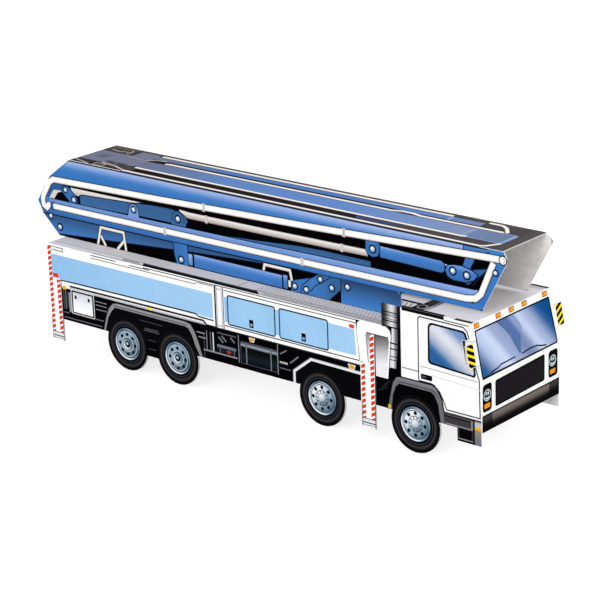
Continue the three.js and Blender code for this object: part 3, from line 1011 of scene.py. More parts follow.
def draw_inner_arm(art):
    """Inner arm and second pipe, below the upper pipe."""
    art.fill([(-125, 81), (-100, 81.1), (-77, 81.4), (-85, 80), (-118.5, 78.4), (-120, 77.4),
              (-122, 77.8), (-124.4, 79.6)], rising(77.5, 81, "#b5aca6", "#e9e4df"))
    art.line([(-125, 81.1), (-100, 81.2), (-76, 81.5)], 0.15, "#2a2420")
    second = ("#b3aaa5", "#efebe8", "#d9d2ce", "#cbc3be", "#b9b0ab", "#877e79")
    art.line([(-52.5, 80.6), (-46, 80.2), (5, 80.6), (60, 81.3)], 3.1, *second)
    for u, v in ((-35.5, 80.2), (45.5, 81.1)):
        flange(art, u, v, 3.7)
    arm = [(-118.9, 73.2), (-118.9, 77.6), (-117.6, 78.5), (-85, 80.1), (-72, 81.2), (-60, 81.6),
           (-52, 81.1), (-48.6, 79.2), (-47.3, 77), (-48.6, 74.8), (-49, 73.7), (-57.4, 73.7),
           (-58, 74.8), (-79, 74.6), (-86, 74.2)]
    art.fill(arm, rising(73, 81.5, "#3f6799", art.palette.arm_blue, "#36608f"))
    art.line(arm[:10], 0.3, BOOM_LINE)
    art.line([(-79, 74.4), (-58, 74.6)], 0.2, BOOM_LINE)
    art.fill([(-22, 74.4), (-5, 75.4), (20, 77.3), (34, 77.8), (61.5, 77.7), (61.5, 75), (0, 74)],
             rising(74.4, 77.6, "#3b6699", "#345c8c"))
    art.ring(-53.6, 77.2, 3.9, 0.35, BOOM_LINE, BOOM_LINE, start=-20, end=200)
    art.bolt(-53.6, 77.2, 2.1)
    lug = [(-86.5, 73.4), (-85.8, 77), (-84.6, 79.2), (-82.5, 80), (-80.4, 79.2), (-79.2, 77), (-79, 73.4)]
    art.outlined(lug, rising(73, 80, "#7d9fd6", "#6f93c8"), 0.3, BOOM_LINE)
    art.bolt(-82.5, 76.9)


def draw_tail_link(art):
    """Link and bent tube at the tail."""
    art.fill([(-142.3, 74), (-138.4, 80.8), (-134, 81.8), (-127, 81.4), (-125, 80), (-131, 77.6),
              (-136.6, 78.3), (-139.2, 76), (-141, 73.2)], "#2f5c92")
    art.fill([(-140.6, 73.2), (-137.1, 78), (-132.6, 78.4), (-131, 77.9), (-134.4, 77), (-137.2, 73.2)],
             "#d5cdc6")
    art.fill([(-137, 73.2), (-134, 77.1), (-130.8, 78.1), (-125.5, 73.2)], art.palette.black)
    link = [(-130.7, 77.6), (-131.2, 79.6), (-130, 81.2), (-127.8, 81.5), (-126.2, 80.9), (-121, 76.6),
            (-120.4, 74.4), (-121.6, 72.8), (-123.8, 72.4), (-125.6, 73.2)]
    art.outlined(link, shade((-128, 80), (-122, 74), "#3a74ba", "#336cb2"), 0.3, BOOM_LINE, closed=True)
    art.bolt(-128.6, 79.2, 1.8)
    art.bolt(-123.1, 75)


def draw_lower_beam(art):
    """Beam between the pipes, which the arm and cylinder lie on."""
    art.fill([(-141, 71), (114, 71), (118.6, 72.5), (120.4, 75.6), (100, 75.4), (30, 74.9), (0, 74.3),
              (-65, 73.8), (-140, 73.2)], rising(71.3, 75.2, "#5f86bf", (0.5, "#7599d6"),
                                                 (1, art.palette.beam_blue)))
    art.line([(-140, 73.3), (-86.5, 73.6)], 0.2, BOOM_LINE)
    art.line([(-79, 73.7), (-65, 73.8), (0, 74.4), (30, 74.9), (100, 75.4), (118, 75.6)], 0.2, BOOM_LINE)


def draw_front_linkage(art):
    """Clevis, cylinder and link plates at the front."""
    art.line([(111.3, 84.6), (112.8, 88.6)], 0.3, BOOM_LINE)
    art.fill([(111.3, 84.6), (112.8, 88.8), (117.8, 88.9), (115.5, 84.6)], "#3c70b3")
    art.line([(117.8, 88.9), (115.6, 84.8)], 0.3, BOOM_LINE)
    art.fill([(114, 77), (125.5, 86.4), (122, 85.6), (117, 84.3), (112, 79)], "#31609a")
    art.line([(117, 84.4), (125, 86.3)], 0.3, BOOM_LINE)
    art.line([(116.5, 77.2), (126, 87.5)], 0.5, BOOM_LINE)
    clevis = [(58.8, 87.4), (58.8, 83), (60, 80.9), (62.8, 79.9), (65.6, 80.7), (66.9, 83), (66.9, 87.6)]
    barrel = [(66.8, 86), (100.2, 85.2), (101.9, 84.2), (102, 81.2), (100.4, 79.7), (66.8, 80.6)]
    sheen = rising(79.8, 86, "#3a6ba8", (0.3, "#3f74b7"), (0.55, "#3f7ac3"), (0.78, "#5888cc"),
                  (1, "#a3b9df"))
    art.outlined(barrel, sheen, 0.25, BOOM_LINE, closed=True)
    art.outlined(clevis, running(58, 67, "#37689f", "#3f78bf", "#37689f"), 0.3, BOOM_LINE)
    art.bolt(62.8, 83.6, 2.1)
    art.line([(102.3, 83.9), (104, 83.2)], 0.5, "#e9edf5")
    plate = [(102, 81.5), (103.3, 84), (106.5, 84.8), (111, 85), (116, 84), (119.5, 82.3),
             (117.5, 79.6), (113, 77.8), (106.5, 77.7), (103.4, 78.8)]
    facing = rising(78, 85, "#3668a8", (0.6, "#4079c2"), (1, "#7a9fd8"))
    art.outlined(plate, facing, 0.35, BOOM_LINE, closed=True)
    art.bolt(106.2, 81.8, 2.1)
    art.bolt(113.5, 81.1, 2.1)


def draw_delivery_pipes(art):
    """The two bent pipes that run the length of the boom."""
    art.ring(124.6, 91.6, 1.7, 0.35, PIN_RING, PIN_RING)
    tube(art, [(-141, 69.8), (-142.6, 68.2), (-144.7, 69.2), (-145, 72.5), (-144.1, 74.6),
               (-139.6, 81.6), (-136.8, 83.3), (-65, 85), (20, 87.5), (60, 88.9), (126, 91.2),
               (132, 91.3)], 3.0)
    for u, v in ((-36.7, 85.8), (46.9, 88.4)):
        flange(art, u, v, 4)
    art.disc(132.2, 91.2, 2.2, PIN_RING)
    art.disc(132.2, 91.2, 1.7, "#f4f2f0")
    art.ring(132.2, 91.2, 1.0, 0.2, "#3c3a38", "#3c3a38", start=-90, end=90)
    tube(art, [(-137.8, 69.5), (0, 70.15), (113, 70.9), (118, 71.7), (121, 74.4), (125.9, 85.8),
               (127.4, 89.2)], 2.9)
    for u, v in ((-62.4, 69.8), (22.3, 70.4)):
        flange(art, u, v, 3.7)
    art.ring(-137.6, 69.5, 2.0, 0.4, PIN_RING, PIN_RING, start=80, end=280)
    art.bolt(128.4, 85, 1.6)
    art.disc(-141.2, 69.7, 1.35, "#f8f6f4")


def draw_lower_arm(art):
    """Arm below the lower panel, and the open space under it."""
    p = art.palette
    art.fill([(-149, 64.9), (-137, 56.4), (-133.5, 55.6), (-110, 57.6), (-90, 59.2), (-65, 61),
              (-48, 62.4), (0, 65), (5, 65.9)], rising(57, 65, "#4177ba", (0.38, "#3c6ba4"),
                                                       (0.68, "#375f90"), (1, p.boom_shade)))
    art.line([(-149, 65), (-60, 65.3), (0, 66), (60, 66.4), (76, 66.4)], 0.35, BOOM_LINE)
    art.fill([(-133, 55.2), (-109, 57.4), (-89, 59), (-64, 60.9), (-48, 62), (-48, 55.2)], p.black)
    art.line([(-134, 55.8), (-110, 57.6), (-89, 59.2), (-64, 61.1), (-48, 62.4), (0, 65.2)], 0.25,
             BOOM_LINE)
    art.bolt(-140.1, 64.1, 1.8)
    art.bolt(-134.1, 59.4)


def draw_cradles(art):
    """Bent tubes that the boom rests on."""
    cradles = ([(-107.9, 55.3), (-105.4, 64.2), (-90.1, 64.2), (-88.9, 55.3)],
               [(-105.6, 60), (-102.6, 55.3)], [(-90, 60), (-94.6, 55.3)],
               [(-0.9, 61.8), (-0.2, 64.9), (14.9, 64.9), (15.9, 60.2)])
    for path in cradles:
        art.line(path, 1.9, "#0b0b0d")
    for path in cradles:
        art.line(path, 1.5, "#a9a19b", "#fbf8f5", "#e2dbd5", "#9a928c")


def draw_lifting_cylinder(art):
    """Bracket and lifting cylinder behind the turret."""
    art.fill([(-57.2, 65.3), (-57, 60), (-55.6, 55.3), (-48, 55.3), (-48, 65.3)],
             running(-57, -48, "#386bab", "#3f77bc"))
    art.line([(-57.2, 65.3), (-57, 60), (-55.6, 55.3)], 0.25, BOOM_LINE)
    art.line([(-48, 65.3), (-48, 55.3)], 0.25, BOOM_LINE)
    art.bolt(-52.5, 57.5, 2.1)
    lit = (0.4, "#4076bb"), (0.6, "#4a80c6"), (0.78, "#6690d0"), (1, "#8eabe2")
    art.box(-47.8, 55.9, -45.3, 61.3, rising(56, 61.3, "#5a7fb5", (1, "#8fb6ea")))
    art.box(-45.3, 55.9, -44, 61.6, BOOM_LINE)
    art.box(-44, 55.6, 10, 61.7, rising(56, 61.7, "#3d72b5", *lit))
    art.line([(-48, 61.9), (10.2, 61.9)], 0.2, BOOM_LINE)
    art.box(10, 55.6, 13.6, 62.4, BOOM_LINE, 0.4)
    art.box(10.9, 55.9, 13.3, 62.1, rising(56, 62.1, "#3d72b5", *lit), 0.3)
    art.box(13.9, 57, 15.1, 60, "#f4f2f0")


def draw_turret(art):
    """Base of the boom and the plates that join it to the cylinder."""
    turret = rising(56, 66.2, "#437dc4", (0.3, "#3c71b1"), (0.5, "#38679f"), (0.7, "#335a8a"),
                    (1, "#27436a"))
    art.box(44.6, 55.3, BOOM_FOOT_FRONT, 66.8, turret)
    art.fill([(38, 55.3), (44.6, 61.3), (44.6, 55.3)], art.palette.black)
    steel = shade((17, 56), (40, 66), "#3870b0", "#3f77bb", "#33608f")
    art.fill([(15.6, 55.4), (15.7, 59.6), (17.6, 61), (22, 62.3), (28.5, 64.2), (31.5, 66.2),
              (44.6, 66.2), (44.6, 61.3), (38, 55.4)], steel)
    for path in ([(15.7, 59.6), (17.6, 61), (22, 62.3), (28.5, 64.2), (31.5, 66.2)],
                 [(21.2, 55.4), (22, 59.4), (30, 65.8)], [(27, 57.4), (29.6, 60.4), (38.6, 66)],
                 [(38, 55.4), (44.6, 61.3)], [(44.6, 61.3), (44.6, 66.2)]):
        art.line(path, 0.25, BOOM_LINE)
    for u, v in ((17.6, 57.9), (24.4, 57.6), (32.8, 64), (39.3, 61.2), (48.3, 63.4)):
        art.bolt(u, v, 1.9)


def draw_boom_top(art):
    """Arms and pipes seen from above; y grows to the model's left."""
    p = art.palette
    art.box(-124.7, -16.2, 131.5, 16.2, p.charcoal)
    art.box(-124.7, 14.2, 121, 16.2, rising(14.2, 16.2, "#35302f", "#6d655f"))
    art.box(126.4, -16.2, 131.5, 16.2, "#454144")
    art.fill([(-86, -13.8), (51, -13.8), (54, -9.8), (-86, -9.8)], "#0c090b")
    art.fill([(51, -13.8), (73, -13.8), (73, -9.8), (49, -9.8)], running(50, 73, "#2f3f66", "#343d56"))
    # arms
    arm = running(-124, 104, p.slate, (0.12, "#666a80"), (0.24, "#5f6f93"), (0.38, "#567cb4"),
                  (0.7, "#587eba"), (0.9, "#6b86b4"), (1, "#7686a6"))
    art.box(-124.5, -7, 104, 3.4, arm)
    far = running(-104, 104, p.slate, (0.12, "#606c8a"), (0.3, "#466fab"), (0.7, "#466fae"),
                  (0.9, "#5479b2"), (1, "#6a7da4"))
    art.box(-104, 7.6, 103, 11.9, far)
    art.fill([(-124.4, -10), (-104, -10), (-90, -7), (-90, 3.4), (-92, 13.8), (-104, 13.8), (-104, 6),
              (-124.4, 6)], p.slate)
    art.line([(85.6, 7.5), (85.6, 12)], 0.3, "#b4c6e6")
    art.line([(103.6, 7.2), (103.6, 12.4)], 0.3, "#23252f")
    art.box(104.6, -8.4, 125.6, 4.9, "#7f95bf", 1.4)
    art.box(105.3, -7.8, 123.6, 4.3, running(105, 125, "#64799f", "#61708e"), 1)
    art.line([(104, -7), (104, 3.4)], 0.3, "#a9bbdc")
    art.line([(-78, 6.7), (60, 6.7)], 1.1, "#16100e")
    # pipes
    for path, width in (
        ([(-88, -8.3), (105, -8.3), (107, -7.6)], 2.2),
        ([(-80, 3.9), (-77, 4.6), (57, 4.6), (62, 6.2), (68, 6.2), (73, 4.9), (117, 5.3)], 2.2),
        ([(-90, 12.9), (85, 12.9)], 2.2),
        ([(104, 13.2), (111, 13.1), (114.6, 11), (118.8, 5.6)], 2.1),
        ([(-90, -15.4), (119.4, -15.4), (121.6, -14), (125.2, -8.2)], 2.1),
    ):
        tube(art, path, width - 0.2, "#b8b0aa", "#e6e0dc", "#efebe8", "#dcd6d1", "#aaa29c")
    # tail brackets and covers
    brown = "#433d3b"
    art.fill([(-124.5, 12.2), (-108.6, 12.2), (-106, 14.4), (-124.5, 14.4)], "#57504d")
    art.fill([(-121, 7.4), (-110, 7), (-109.4, 11.2), (-120, 11)], brown)
    art.fill([(-107.6, 6.4), (-104.6, 6), (-104, 10), (-106.4, 13.4), (-107.8, 12)], "#3a3533")
    art.line([(-121, 9.6), (-116, 8.6), (-110, 9.8)], 0.3, "#c9c0b8")
    art.line([(-109.6, 12.4), (-108.4, 11), (-108.6, 7)], 0.5, "#b9afa7")
    art.fill([(-119.6, -4.4), (-113, -4.8), (-112.4, 1.8), (-119, 2)], "#5d6074")
    art.line([(-105, 4.2), (-92, 3.4)], 0.3, "#a89f97")
    art.fill([(-91.6, 4.2), (-86, 6.6), (-79.6, 7.2), (-80, 3), (-89.6, 2.6)], "#17110f")
    art.line([(-92, 4), (-86.6, 6.8), (-82, 7.4)], 0.5, "#c9c0b8")
    for start in (-108.4, -101.4):
        art.fill([(start, -6.4), (start + 7, -6.6), (start + 6.6, -9.4), (start + 1.4, -9.2)], brown)
    art.fill([(-124.5, -10.4), (-108, -11.6), (-103, -12.6), (-90, -16.2), (-124.5, -16.2)], "#2f2a29")
    art.line([(-108, -10.8), (-98, -11.8), (-89.6, -15)], 1.2, "#6b635e", "#d6cec7", "#8c837c")
    art.line([(-124, -12.6), (-113, -15.4)], 0.9, "#6b635e", "#d6cec7", "#6b635e")
    art.line([(-110, -12.4), (-103.6, -12.8), (-103.8, -15.4), (-109.6, -15.4)], 0.35, "#a89f97",
             closed=True)


# Deck, roof, front and rear artwork

def draw_deck(art):
    """Right-hand deck strip; u runs forwards and v to the left."""
    # grey deck print, lighter towards the boom: painted light that offsets the shade the boom casts on the
    # deck
    art.box(-130.7, -28.7, 77, -16.75, rising(-17, -25, "#e2dfe1", (0.4, "#dad7d8"), (1, "#d3d0d1")))
    art.box(-130.7, -28.7, -70, -25, "#dedbdc")
    art.line([(-130.4, -24.8), (-70, -24.8)], 0.25, "#9a979b")
    art.line([(-100, -28.2), (-66, -28.2)], 0.3, "#55535a")
    art.box(-82, -27.2, -70.5, -25.6, "#8f8d91", 0.3)
    art.fill([(-69.5, -25), (2, -25), (6.5, -28.6), (-66.5, -28.6)],
             rising(-25, -28.4, "#4a484b", (0.35, "#2a282b"), (0.65, "#0d0c0e"), (1, "#030203")))
    art.line([(-10, -24.6), (-10, -17)], 0.25, "#77757a")
    # tread plate ground, also painted lighter towards the boom to offset the boom's shade on the deck
    art.box(0, -24.6, 76.9, -16.9, rising(-17, -25, "#dbd9da", "#ccc9cb"))
    for row in range(4):
        for i in range(38):
            u, v = 1 + i * 2 + (row % 2), -23.6 + row * 1.9
            lean = 0.45 if (i + row) % 2 else -0.45
            art.line([(u - 0.5, v - lean), (u + 0.5, v + lean)], 0.22, "#8a878b")
    art.line([(0, -24.7), (76.9, -24.7)], 0.25, "#6d6b70")
    art.box(6.6, -28.7, 76.9, -25, rising(-25, -28.6, "#c3c0c2", "#b4b1b3"))
    art.line([(8, -26.9), (76, -26.9)], 0.25, "#7c797e")


def roof_patch(art, side, tint, *rim):
    """A patch whose rim is given for the left half, anticlockwise."""
    art.fill([(u, side * v) for u, v in rim][::-side], tint)


def roof_bar(art, side, u0, v0, u1, v1, tint, rounding=0.0):
    """A box whose place is given for the left half."""
    low, high = sorted((side * v0, side * v1))
    art.box(u0, low, u1, high, tint, rounding)


def draw_roof(art):
    """Cab roof; x forwards, y to the left."""
    rear = ARTWORK_CAB_REAR + FOLD_CLEARANCE
    edge = HALF_WIDTH - FOLD_CLEARANCE
    art.box(rear + 0.3, -28.7, 124.9, 28.7, running(77, 124, "#dddadd", "#dbd8db", "#d8d5d8"))
    for _, side in SIDES:
        roof_bar(art, side, 93, 13, 98.8, 20.4, rising(side * 13, side * 20, "#4a474a", "#2a272a"))
        roof_bar(art, side, 97.9, 13, 98.5, 26, "#8b898c", 0.2)
        roof_bar(art, side, 99, 13, 99.6, 26.4, "#3b383b", 0.2)
        roof_bar(art, side, 80.2, 20.1, 93.4, 21.9, "#0d0b0d", 0.3)
        for start in (83.2, 85.6, 88):
            roof_patch(art, side, "#a5a3a6", (start, 22.4), (start + 1.3, 22.4), (start + 3.1, 26.6),
                       (start + 1.8, 26.6))
        roof_bar(art, side, 91.6, 21, 93.2, 27, "#0d0b0d")
        roof_bar(art, side, 93, 20.2, 98, 27, "#3c393c", 0.8)
        art.disc(95.3, side * 23.6, 2.5, "#918f92")
        art.disc(95.1, side * 23.6, 1.75, "#0d0b0d")
        roof_bar(art, side, 86.4, 26.8, 109.8, edge, "#161416")
        roof_bar(art, side, 88.4, 28.4, 110.2, 28.8, "#6b696c")
        roof_bar(art, side, 115.6, 26.9, 124.6, edge, "#3a373a")
        blue = rising(side * 15, side * 28.7, "#2b4a78", "#335b8c", "#3b6aa3")
        roof_patch(art, side, blue, (rear, 15.2), (88, edge), (rear, edge))
        art.line([(77.3, side * 15.5), (87.8, side * 28.7)], 0.1, "#7fa3d0")
    art.box(103.5, 24, 123.6, 26.6, "#bdbbbb", 0.4)


def draw_cab_back(art):
    """Back of the cab above the deck; u is y."""
    art.box(-28.2, 55.3, 28.2, 64.7, rising(55, 65, "#cfd1d6", "#f0f1f4"))
    for u in (-24, -20, 20, 24):
        art.line([(u, 56.4), (u, 63.6)], 0.35, "#a3a5ac")
    art.box(-15, 57, 15, 63.4, "#1b1b1e", 0.8)
    glass = shade((-14, 57), (14, 63), "#16457f", (0.4, "#2f68b0"), (0.5, "#a9bfe6"), (0.7, "#3a70b6"),
                  (1, "#1d4d8c"))
    art.box(-14.2, 57.7, 14.2, 62.7, glass, 0.6)


def draw_front(art):
    """Front panel; u is y."""
    p = art.palette
    ends = rising(17.3, 24.6, "#020102", (0.35, "#080607"), (0.58, "#1e1b1c"), (0.82, "#423e3d"),
                  (1, "#2b2828"))
    art.box(-28.7, 17.3, 28.7, 24.7, ends)
    middle = rising(17.3, 24.6, "#030203", (0.3, "#0b090a"), (0.46, "#2d2928"), (0.64, "#635c58"),
                   (0.9, "#7d7570"), (1, "#433d3b"))
    art.fill([(-21.4, 17.3), (20.9, 17.3), (20.9, 24.6), (-21.4, 24.6)], middle)
    art.line([(-28.6, 24.8), (28.7, 24.9)], 0.2, "#0b0a0b")
    art.fill([(-19.2, 26.5), (17.4, 27.1), (17.4, 39.3), (-19.3, 38.4)], "#060507", 0.9)
    art.fill([(-18.4, 27.3), (16.6, 27.9), (16.6, 38.5), (-18.5, 37.6)], "#1c191c", 0.4)
    for row in range(9):
        art.line([(-18.2, 28 + row * 1.1), (16.4, 28.5 + row * 1.1)], 0.1, "#262327")
    for low, base, wide, u, v in ((-28.4, 26.3, 6.5, -25.1, 33.6), (20.4, 26.9, 6.9, 23.6, 34.4)):
        art.box(low, base, low + wide, base + 12.4, "#060507", 1.5)
        art.disc(u, v, 2.65, "#c9dbe4")
        art.disc(u, v, 2.15, shade((u, v - 2), (u, v + 2), "#7f939e", (0.35, "#2c363c"), (1, "#12171b")))
        for shift in (-0.7, 0.7):
            art.box(u + shift - 0.4, v + 0.1, u + shift + 0.4, v + 1.5, "#e9f1f5", 0.2)
        art.ring(u, v, 1.5, 0.4, "#e9f1f5", start=215, end=325)
        art.box(u - 2.1, base + 1.5, u + 2, base + 3.6, p.orange, 0.3)
    art.fill([(-28.6, 42), (-28.4, 41.4), (-27.6, 41.2), (26.6, 41.6), (27.6, 42)], "#0a090b")


def draw_windshield(art):
    """Windshield with its wipers and marker lamps; u is y and v runs up the glass."""
    p = art.palette
    art.fill([(-28.65, 0), (27.5, 0), (26.9, 10), (26.1, 20.9), (-28.6, 20.9)], "#070608", 0.5)
    glass = shade((-25, 0), (13.4, 30.7), "#255995", (0.03, "#375e95"), (0.07, "#637ca9"),
                  (0.12, "#92a6ce"), (0.175, "#b4c4e6"), (0.23, "#c1d0ed"), (0.27, p.glass_light),
                  (0.31, "#bccae8"), (0.35, "#9eadd0"), (0.4, "#98a8cc"), (0.46, "#8b9cc3"),
                  (0.5, "#7888b2"), (0.55, "#788ab2"), (0.595, "#8e9ec4"), (0.64, "#bbc9e7"),
                  (0.68, "#c4d2ef"), (0.74, "#a9b8da"), (0.79, "#99a8cc"), (0.835, "#7088b5"),
                  (0.88, "#37619a"), (0.93, "#13508f"), (1, p.glass_dark))
    art.fill([(-27.9, 0.2), (26.7, 0.35), (26, 10), (25.3, 20.2), (-27.8, 20.2)], glass, 0.5)
    art.fill([(-13.2, 20.2), (-8.6, 16), (-5.2, 12), (-3.4, 8), (-1.6, 4.5), (-0.8, 2.9), (0.6, 2.9),
              (1.3, 8), (2.6, 11), (3.9, 13.2), (3, 15.4), (-0.6, 20.2)],
             shade((4, 0), (9.5, 4.4), "#5570a3", (0.65, "#5671a4"), (0.8, "#768cba"), (1, "#8d9fc8")))
    for path in ([(-22.5, 0.8), (-17, 1.4), (-14.6, 2.2), (-4, 2.4)],
                 [(1, 2.4), (7, 2.9), (12.4, 2.7), (15, 1.8), (19, 1)]):
        art.line(path, 0.45, "#0b0b0e")
    for u in (-26.6, -11, -1.5, 8, 23.3):
        art.box(u - 1.9, 21.5, u + 1.9, 23.8, "#7a4a10", 0.3)
        art.box(u - 1.6, 21.8, u + 1.6, 23.5, running(u - 1.6, u + 1.6, "#ee8716", "#fbab3c"), 0.25)


def draw_mirror_flap(art, side, low, high):
    """Warning stripes of one mirror flap, which fall away towards the cab."""
    p = art.palette
    inner, outer = (-31.1, -35.8) if side < 0 else (29.7, 34.3)
    left, right = sorted((inner, outer))
    art.box(left, low + 0.2, right, high - 0.2, p.black)
    art.stripes(left, right, low + 0.25, high - 0.25, 2.5 * side, 2.95, 1.25, p.yellow)


def draw_rear(art):
    """Rear panel: hopper grille, lamps, bumper and a bare plate; u is y."""
    p = art.palette
    low = SKIRT + 0.4
    art.box(-27.7, low, 27.7, 25, rising(low, 25, "#1a191c", "#3f3d41"))
    art.stripes(-27.4, 27.4, 17.9, 20.4, 0, 40, 2.5, p.white)
    end = (27.4, 0, 1, 0)
    for i in range(10):
        u = -27 + i * 5.6
        art.fill([(u, 17.9), (u + 2.6, 17.9), (u + 4.6, 20.4), (u + 2, 20.4)], p.red, trim=[end])
    art.line([(-27.7, 25.2), (27.7, 25.2)], 0.4, "#0f0f11")
    for _, side in SIDES:
        for inner, tint in ((19.2, p.orange), (22.4, p.red), (25.1, p.red)):
            start, end = sorted((side * (inner - 1.2), side * (inner + 1.2)))
            art.box(start - 0.25, 21.4, end + 0.25, 24.2, "#0f0f11", 0.3)
            art.box(start, 21.7, end, 23.9, tint, 0.3)
        art.line([(side * 26.9, 26), (side * 26.9, 53.4)], 0.3, "#a9acb6")
    art.box(-7.5, 21.2, 7.5, 24.4, "#eceef2", 0.3)
    art.box(-20.5, 28, 20.5, 48.5, "#8d8f96", 1.2)
    art.box(-19.8, 28.7, 19.8, 47.8, rising(28, 48, "#0f0f12", "#2b2a2e"), 0.9)
    for i in range(12):
        u = -18 + i * 3.273
        art.line([(u, 29.2), (u, 47.3)], 0.9, "#3a393d", "#a4a5ab", "#4c4b50")
    draw_stack_of_lines(art, "#77787e", 0.8, (-19.6, 19.6, 34.5), (-19.6, 19.6, 41.5))
    art.box(-25.6, 49.8, 25.6, 52.6, p.panel_blue, 0.5)
    for _, side in SIDES:
        start, end = sorted((side * 22.2, side * 25.4))
        art.box(start, 30, end, 47, p.panel_blue, 0.6)
    art.line([(-27.6, 53.4), (27.6, 53.4)], 0.35, "#2a2b31")


# Operators

def side_art(palette, side, half, **options):
    """Artwork on an upright panel that stands half the width from the middle; side is -1 on the right."""
    origin = (ARTWORK_MIDDLE, side * half, 0)
    return Art(palette, origin, AXES["x"], AXES["z"], AXES["y"] * side, **options)


def level_art(palette, height, side=-1):
    """Artwork on a level panel, drawn for its right half or mirrored to the left."""
    return Art(palette, (ARTWORK_MIDDLE, 0, height), AXES["x"], AXES["y"] * -side, AXES["z"])


class PUMPTRUCK_OT_materials(bpy.types.Operator):
    """Make the board, ink and floor materials"""

    bl_idname = "pumptruck.materials"
    bl_label = "Make Materials"

    def execute(self, context):
        palette = context.scene.pump_truck_colours
        printed_ink()
        for make in (coated_board, board_reverse, board_core, studio_floor):
            make(palette)
        return {"FINISHED"}


def widening(half):
    """The reach of a panel across the creases at both its sides."""
    return [(plane_at("y", side * half), side * CREASE) for _, side in SIDES]


class PUMPTRUCK_OT_body_boards(bpy.types.Operator):
    """Cut and fold the side panels, deck strips and floor"""

    bl_idname = "pumptruck.body_boards"
    bl_label = "Fold Body"

    def execute(self, context):
        ends = [plane_at("z", DECK), plane_at("z", ROOF), plane_at("x", NOSE), plane_at("z", SKIRT),
                glass_plane()]
        for name, side in SIDES:
            outer = plane_at("y", side * HALF_WIDTH)
            cut_board(f"{name}_side_panel", f"{name}_side_board", "truck", AXES["y"] * side,
                      folds=[(outer, end) for end in ends])
            near = min(span(f"{name}_deck_strip", "y"), key=abs)
            cut_board(f"{name}_deck_strip", f"{name}_deck_board", "truck", AXES["z"],
                      reach=[(plane_at("y", side * DECK_HALF_WIDTH), side * CREASE),
                             (plane_at("y", near), -side * CREASE),
                             (plane_at("x", CAB_REAR - CREASE), CREASE)])
        cut_board("floor_panel", "floor_board", "truck", -AXES["z"],
                  reach=[*widening(DECK_HALF_WIDTH), (plane_at("x", span("floor_panel", "x")[1]), CREASE)])
        return {"FINISHED"}


class PUMPTRUCK_OT_cab_boards(bpy.types.Operator):
    """Cut and fold the cab's back, roof, windshield and front"""

    bl_idname = "pumptruck.cab_boards"
    bl_label = "Fold Cab"

    def execute(self, context):
        widen = widening(DECK_HALF_WIDTH)
        back_top = span("cab_back_panel", "z")[1]
        cut_board("cab_back_panel", "cab_back_board", "truck", -AXES["x"],
                  reach=[*widen, (plane_at("z", back_top), CREASE)],
                  folds=[(plane_at("z", ROOF), plane_at("x", CAB_REAR))])
        roof_front = span("cab_roof_panel", "x")[1]
        gap = span("windshield_panel", "z")[1] - ROOF
        glass_low = min(v.co.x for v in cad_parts["windshield_panel"].data.vertices) / MM
        cut_board("cab_roof_panel", "cab_roof_board", "truck", AXES["z"],
                  reach=[*widen, (plane_at("x", roof_front), glass_low - roof_front)],
                  folds=[(plane_at("z", ROOF), plane_at("x", CAB_REAR))])
        inner_top = ROOF - BOARD * math.sin(RAKE)
        foot = UP_GLASS, UP_GLASS.dot(Vector((NOSE, 0, SILL))) * MM + CREASE * MM
        cut_board("windshield_panel", "windshield_board", "truck", OFF_GLASS,
                  reach=[*widen, (foot, -CREASE), (plane_at("z", inner_top), ROOF - inner_top + gap)],
                  folds=[(glass_plane(), plane_at("z", ROOF))],
                  lips=[hinge_lip(side) for _, side in SIDES])
        cut_board("front_panel", "front_board", "truck", AXES["x"],
                  reach=[*widen, (plane_at("z", SILL - CREASE / 2), CREASE / 2)],
                  folds=[(plane_at("x", NOSE), plane_at("z", SKIRT))])
        return {"FINISHED"}


class PUMPTRUCK_OT_boom_boards(bpy.types.Operator):
    """Cut and fold the open boom sleeve"""

    bl_idname = "pumptruck.boom_boards"
    bl_label = "Fold Boom"

    def execute(self, context):
        for name, side in SIDES:
            cut_board(f"boom_{name}_panel", f"boom_{name}_board", "truck", AXES["y"] * side,
                      folds=[(plane_at("y", side * BOOM_HALF_WIDTH), plane_at("z", BOOM_TOP))])
        cut_board("boom_top_panel", "boom_top_board", "truck", AXES["z"],
                  reach=widening(span("boom_top_panel", "y")[1]))
        return {"FINISHED"}


class PUMPTRUCK_OT_flap_boards(bpy.types.Operator):
    """Cut and fold the mirror flaps, rear closure and inside flaps"""

    bl_idname = "pumptruck.flap_boards"
    bl_label = "Fold Flaps"

    def execute(self, context):
        close = CREASE - FOLD_CLEARANCE
        for name, side in SIDES:
            inner = min(abs(y) for y in span(f"{name}_mirror_flap", "y"))
            cut_board(f"{name}_mirror_flap", f"{name}_mirror_board", f"{name}_mirror",
                      OFF_GLASS, reach=[(plane_at("y", side * inner), -side * close)],
                      lips=[mitre(side, inner - close)])
            backing_board(name, side)
            cut_board(f"{name}_dust_flap", f"{name}_dust_board", "truck", -AXES["x"])
            for flap in ("roof_glue_flap", "front_glue_flap"):
                board = flap.replace("flap", "board")
                cut_board(f"{name}_{flap}", f"{name}_{board}", "truck", AXES["y"] * side)
        cut_board("floor_glue_flap", "floor_glue_board", "truck", AXES["y"])
        rear_top = span("rear_panel", "z")[1]
        cut_board("rear_panel", "rear_board", "rear_closure", -AXES["x"],
                  folds=[(plane_at("x", BODY_REAR), plane_at("z", rear_top)),
                         (plane_at("x", BODY_REAR), plane_at("z", SKIRT))])
        cut_board("rear_tuck_flap", "rear_tuck_board", "rear_closure", AXES["z"])
        return {"FINISHED"}


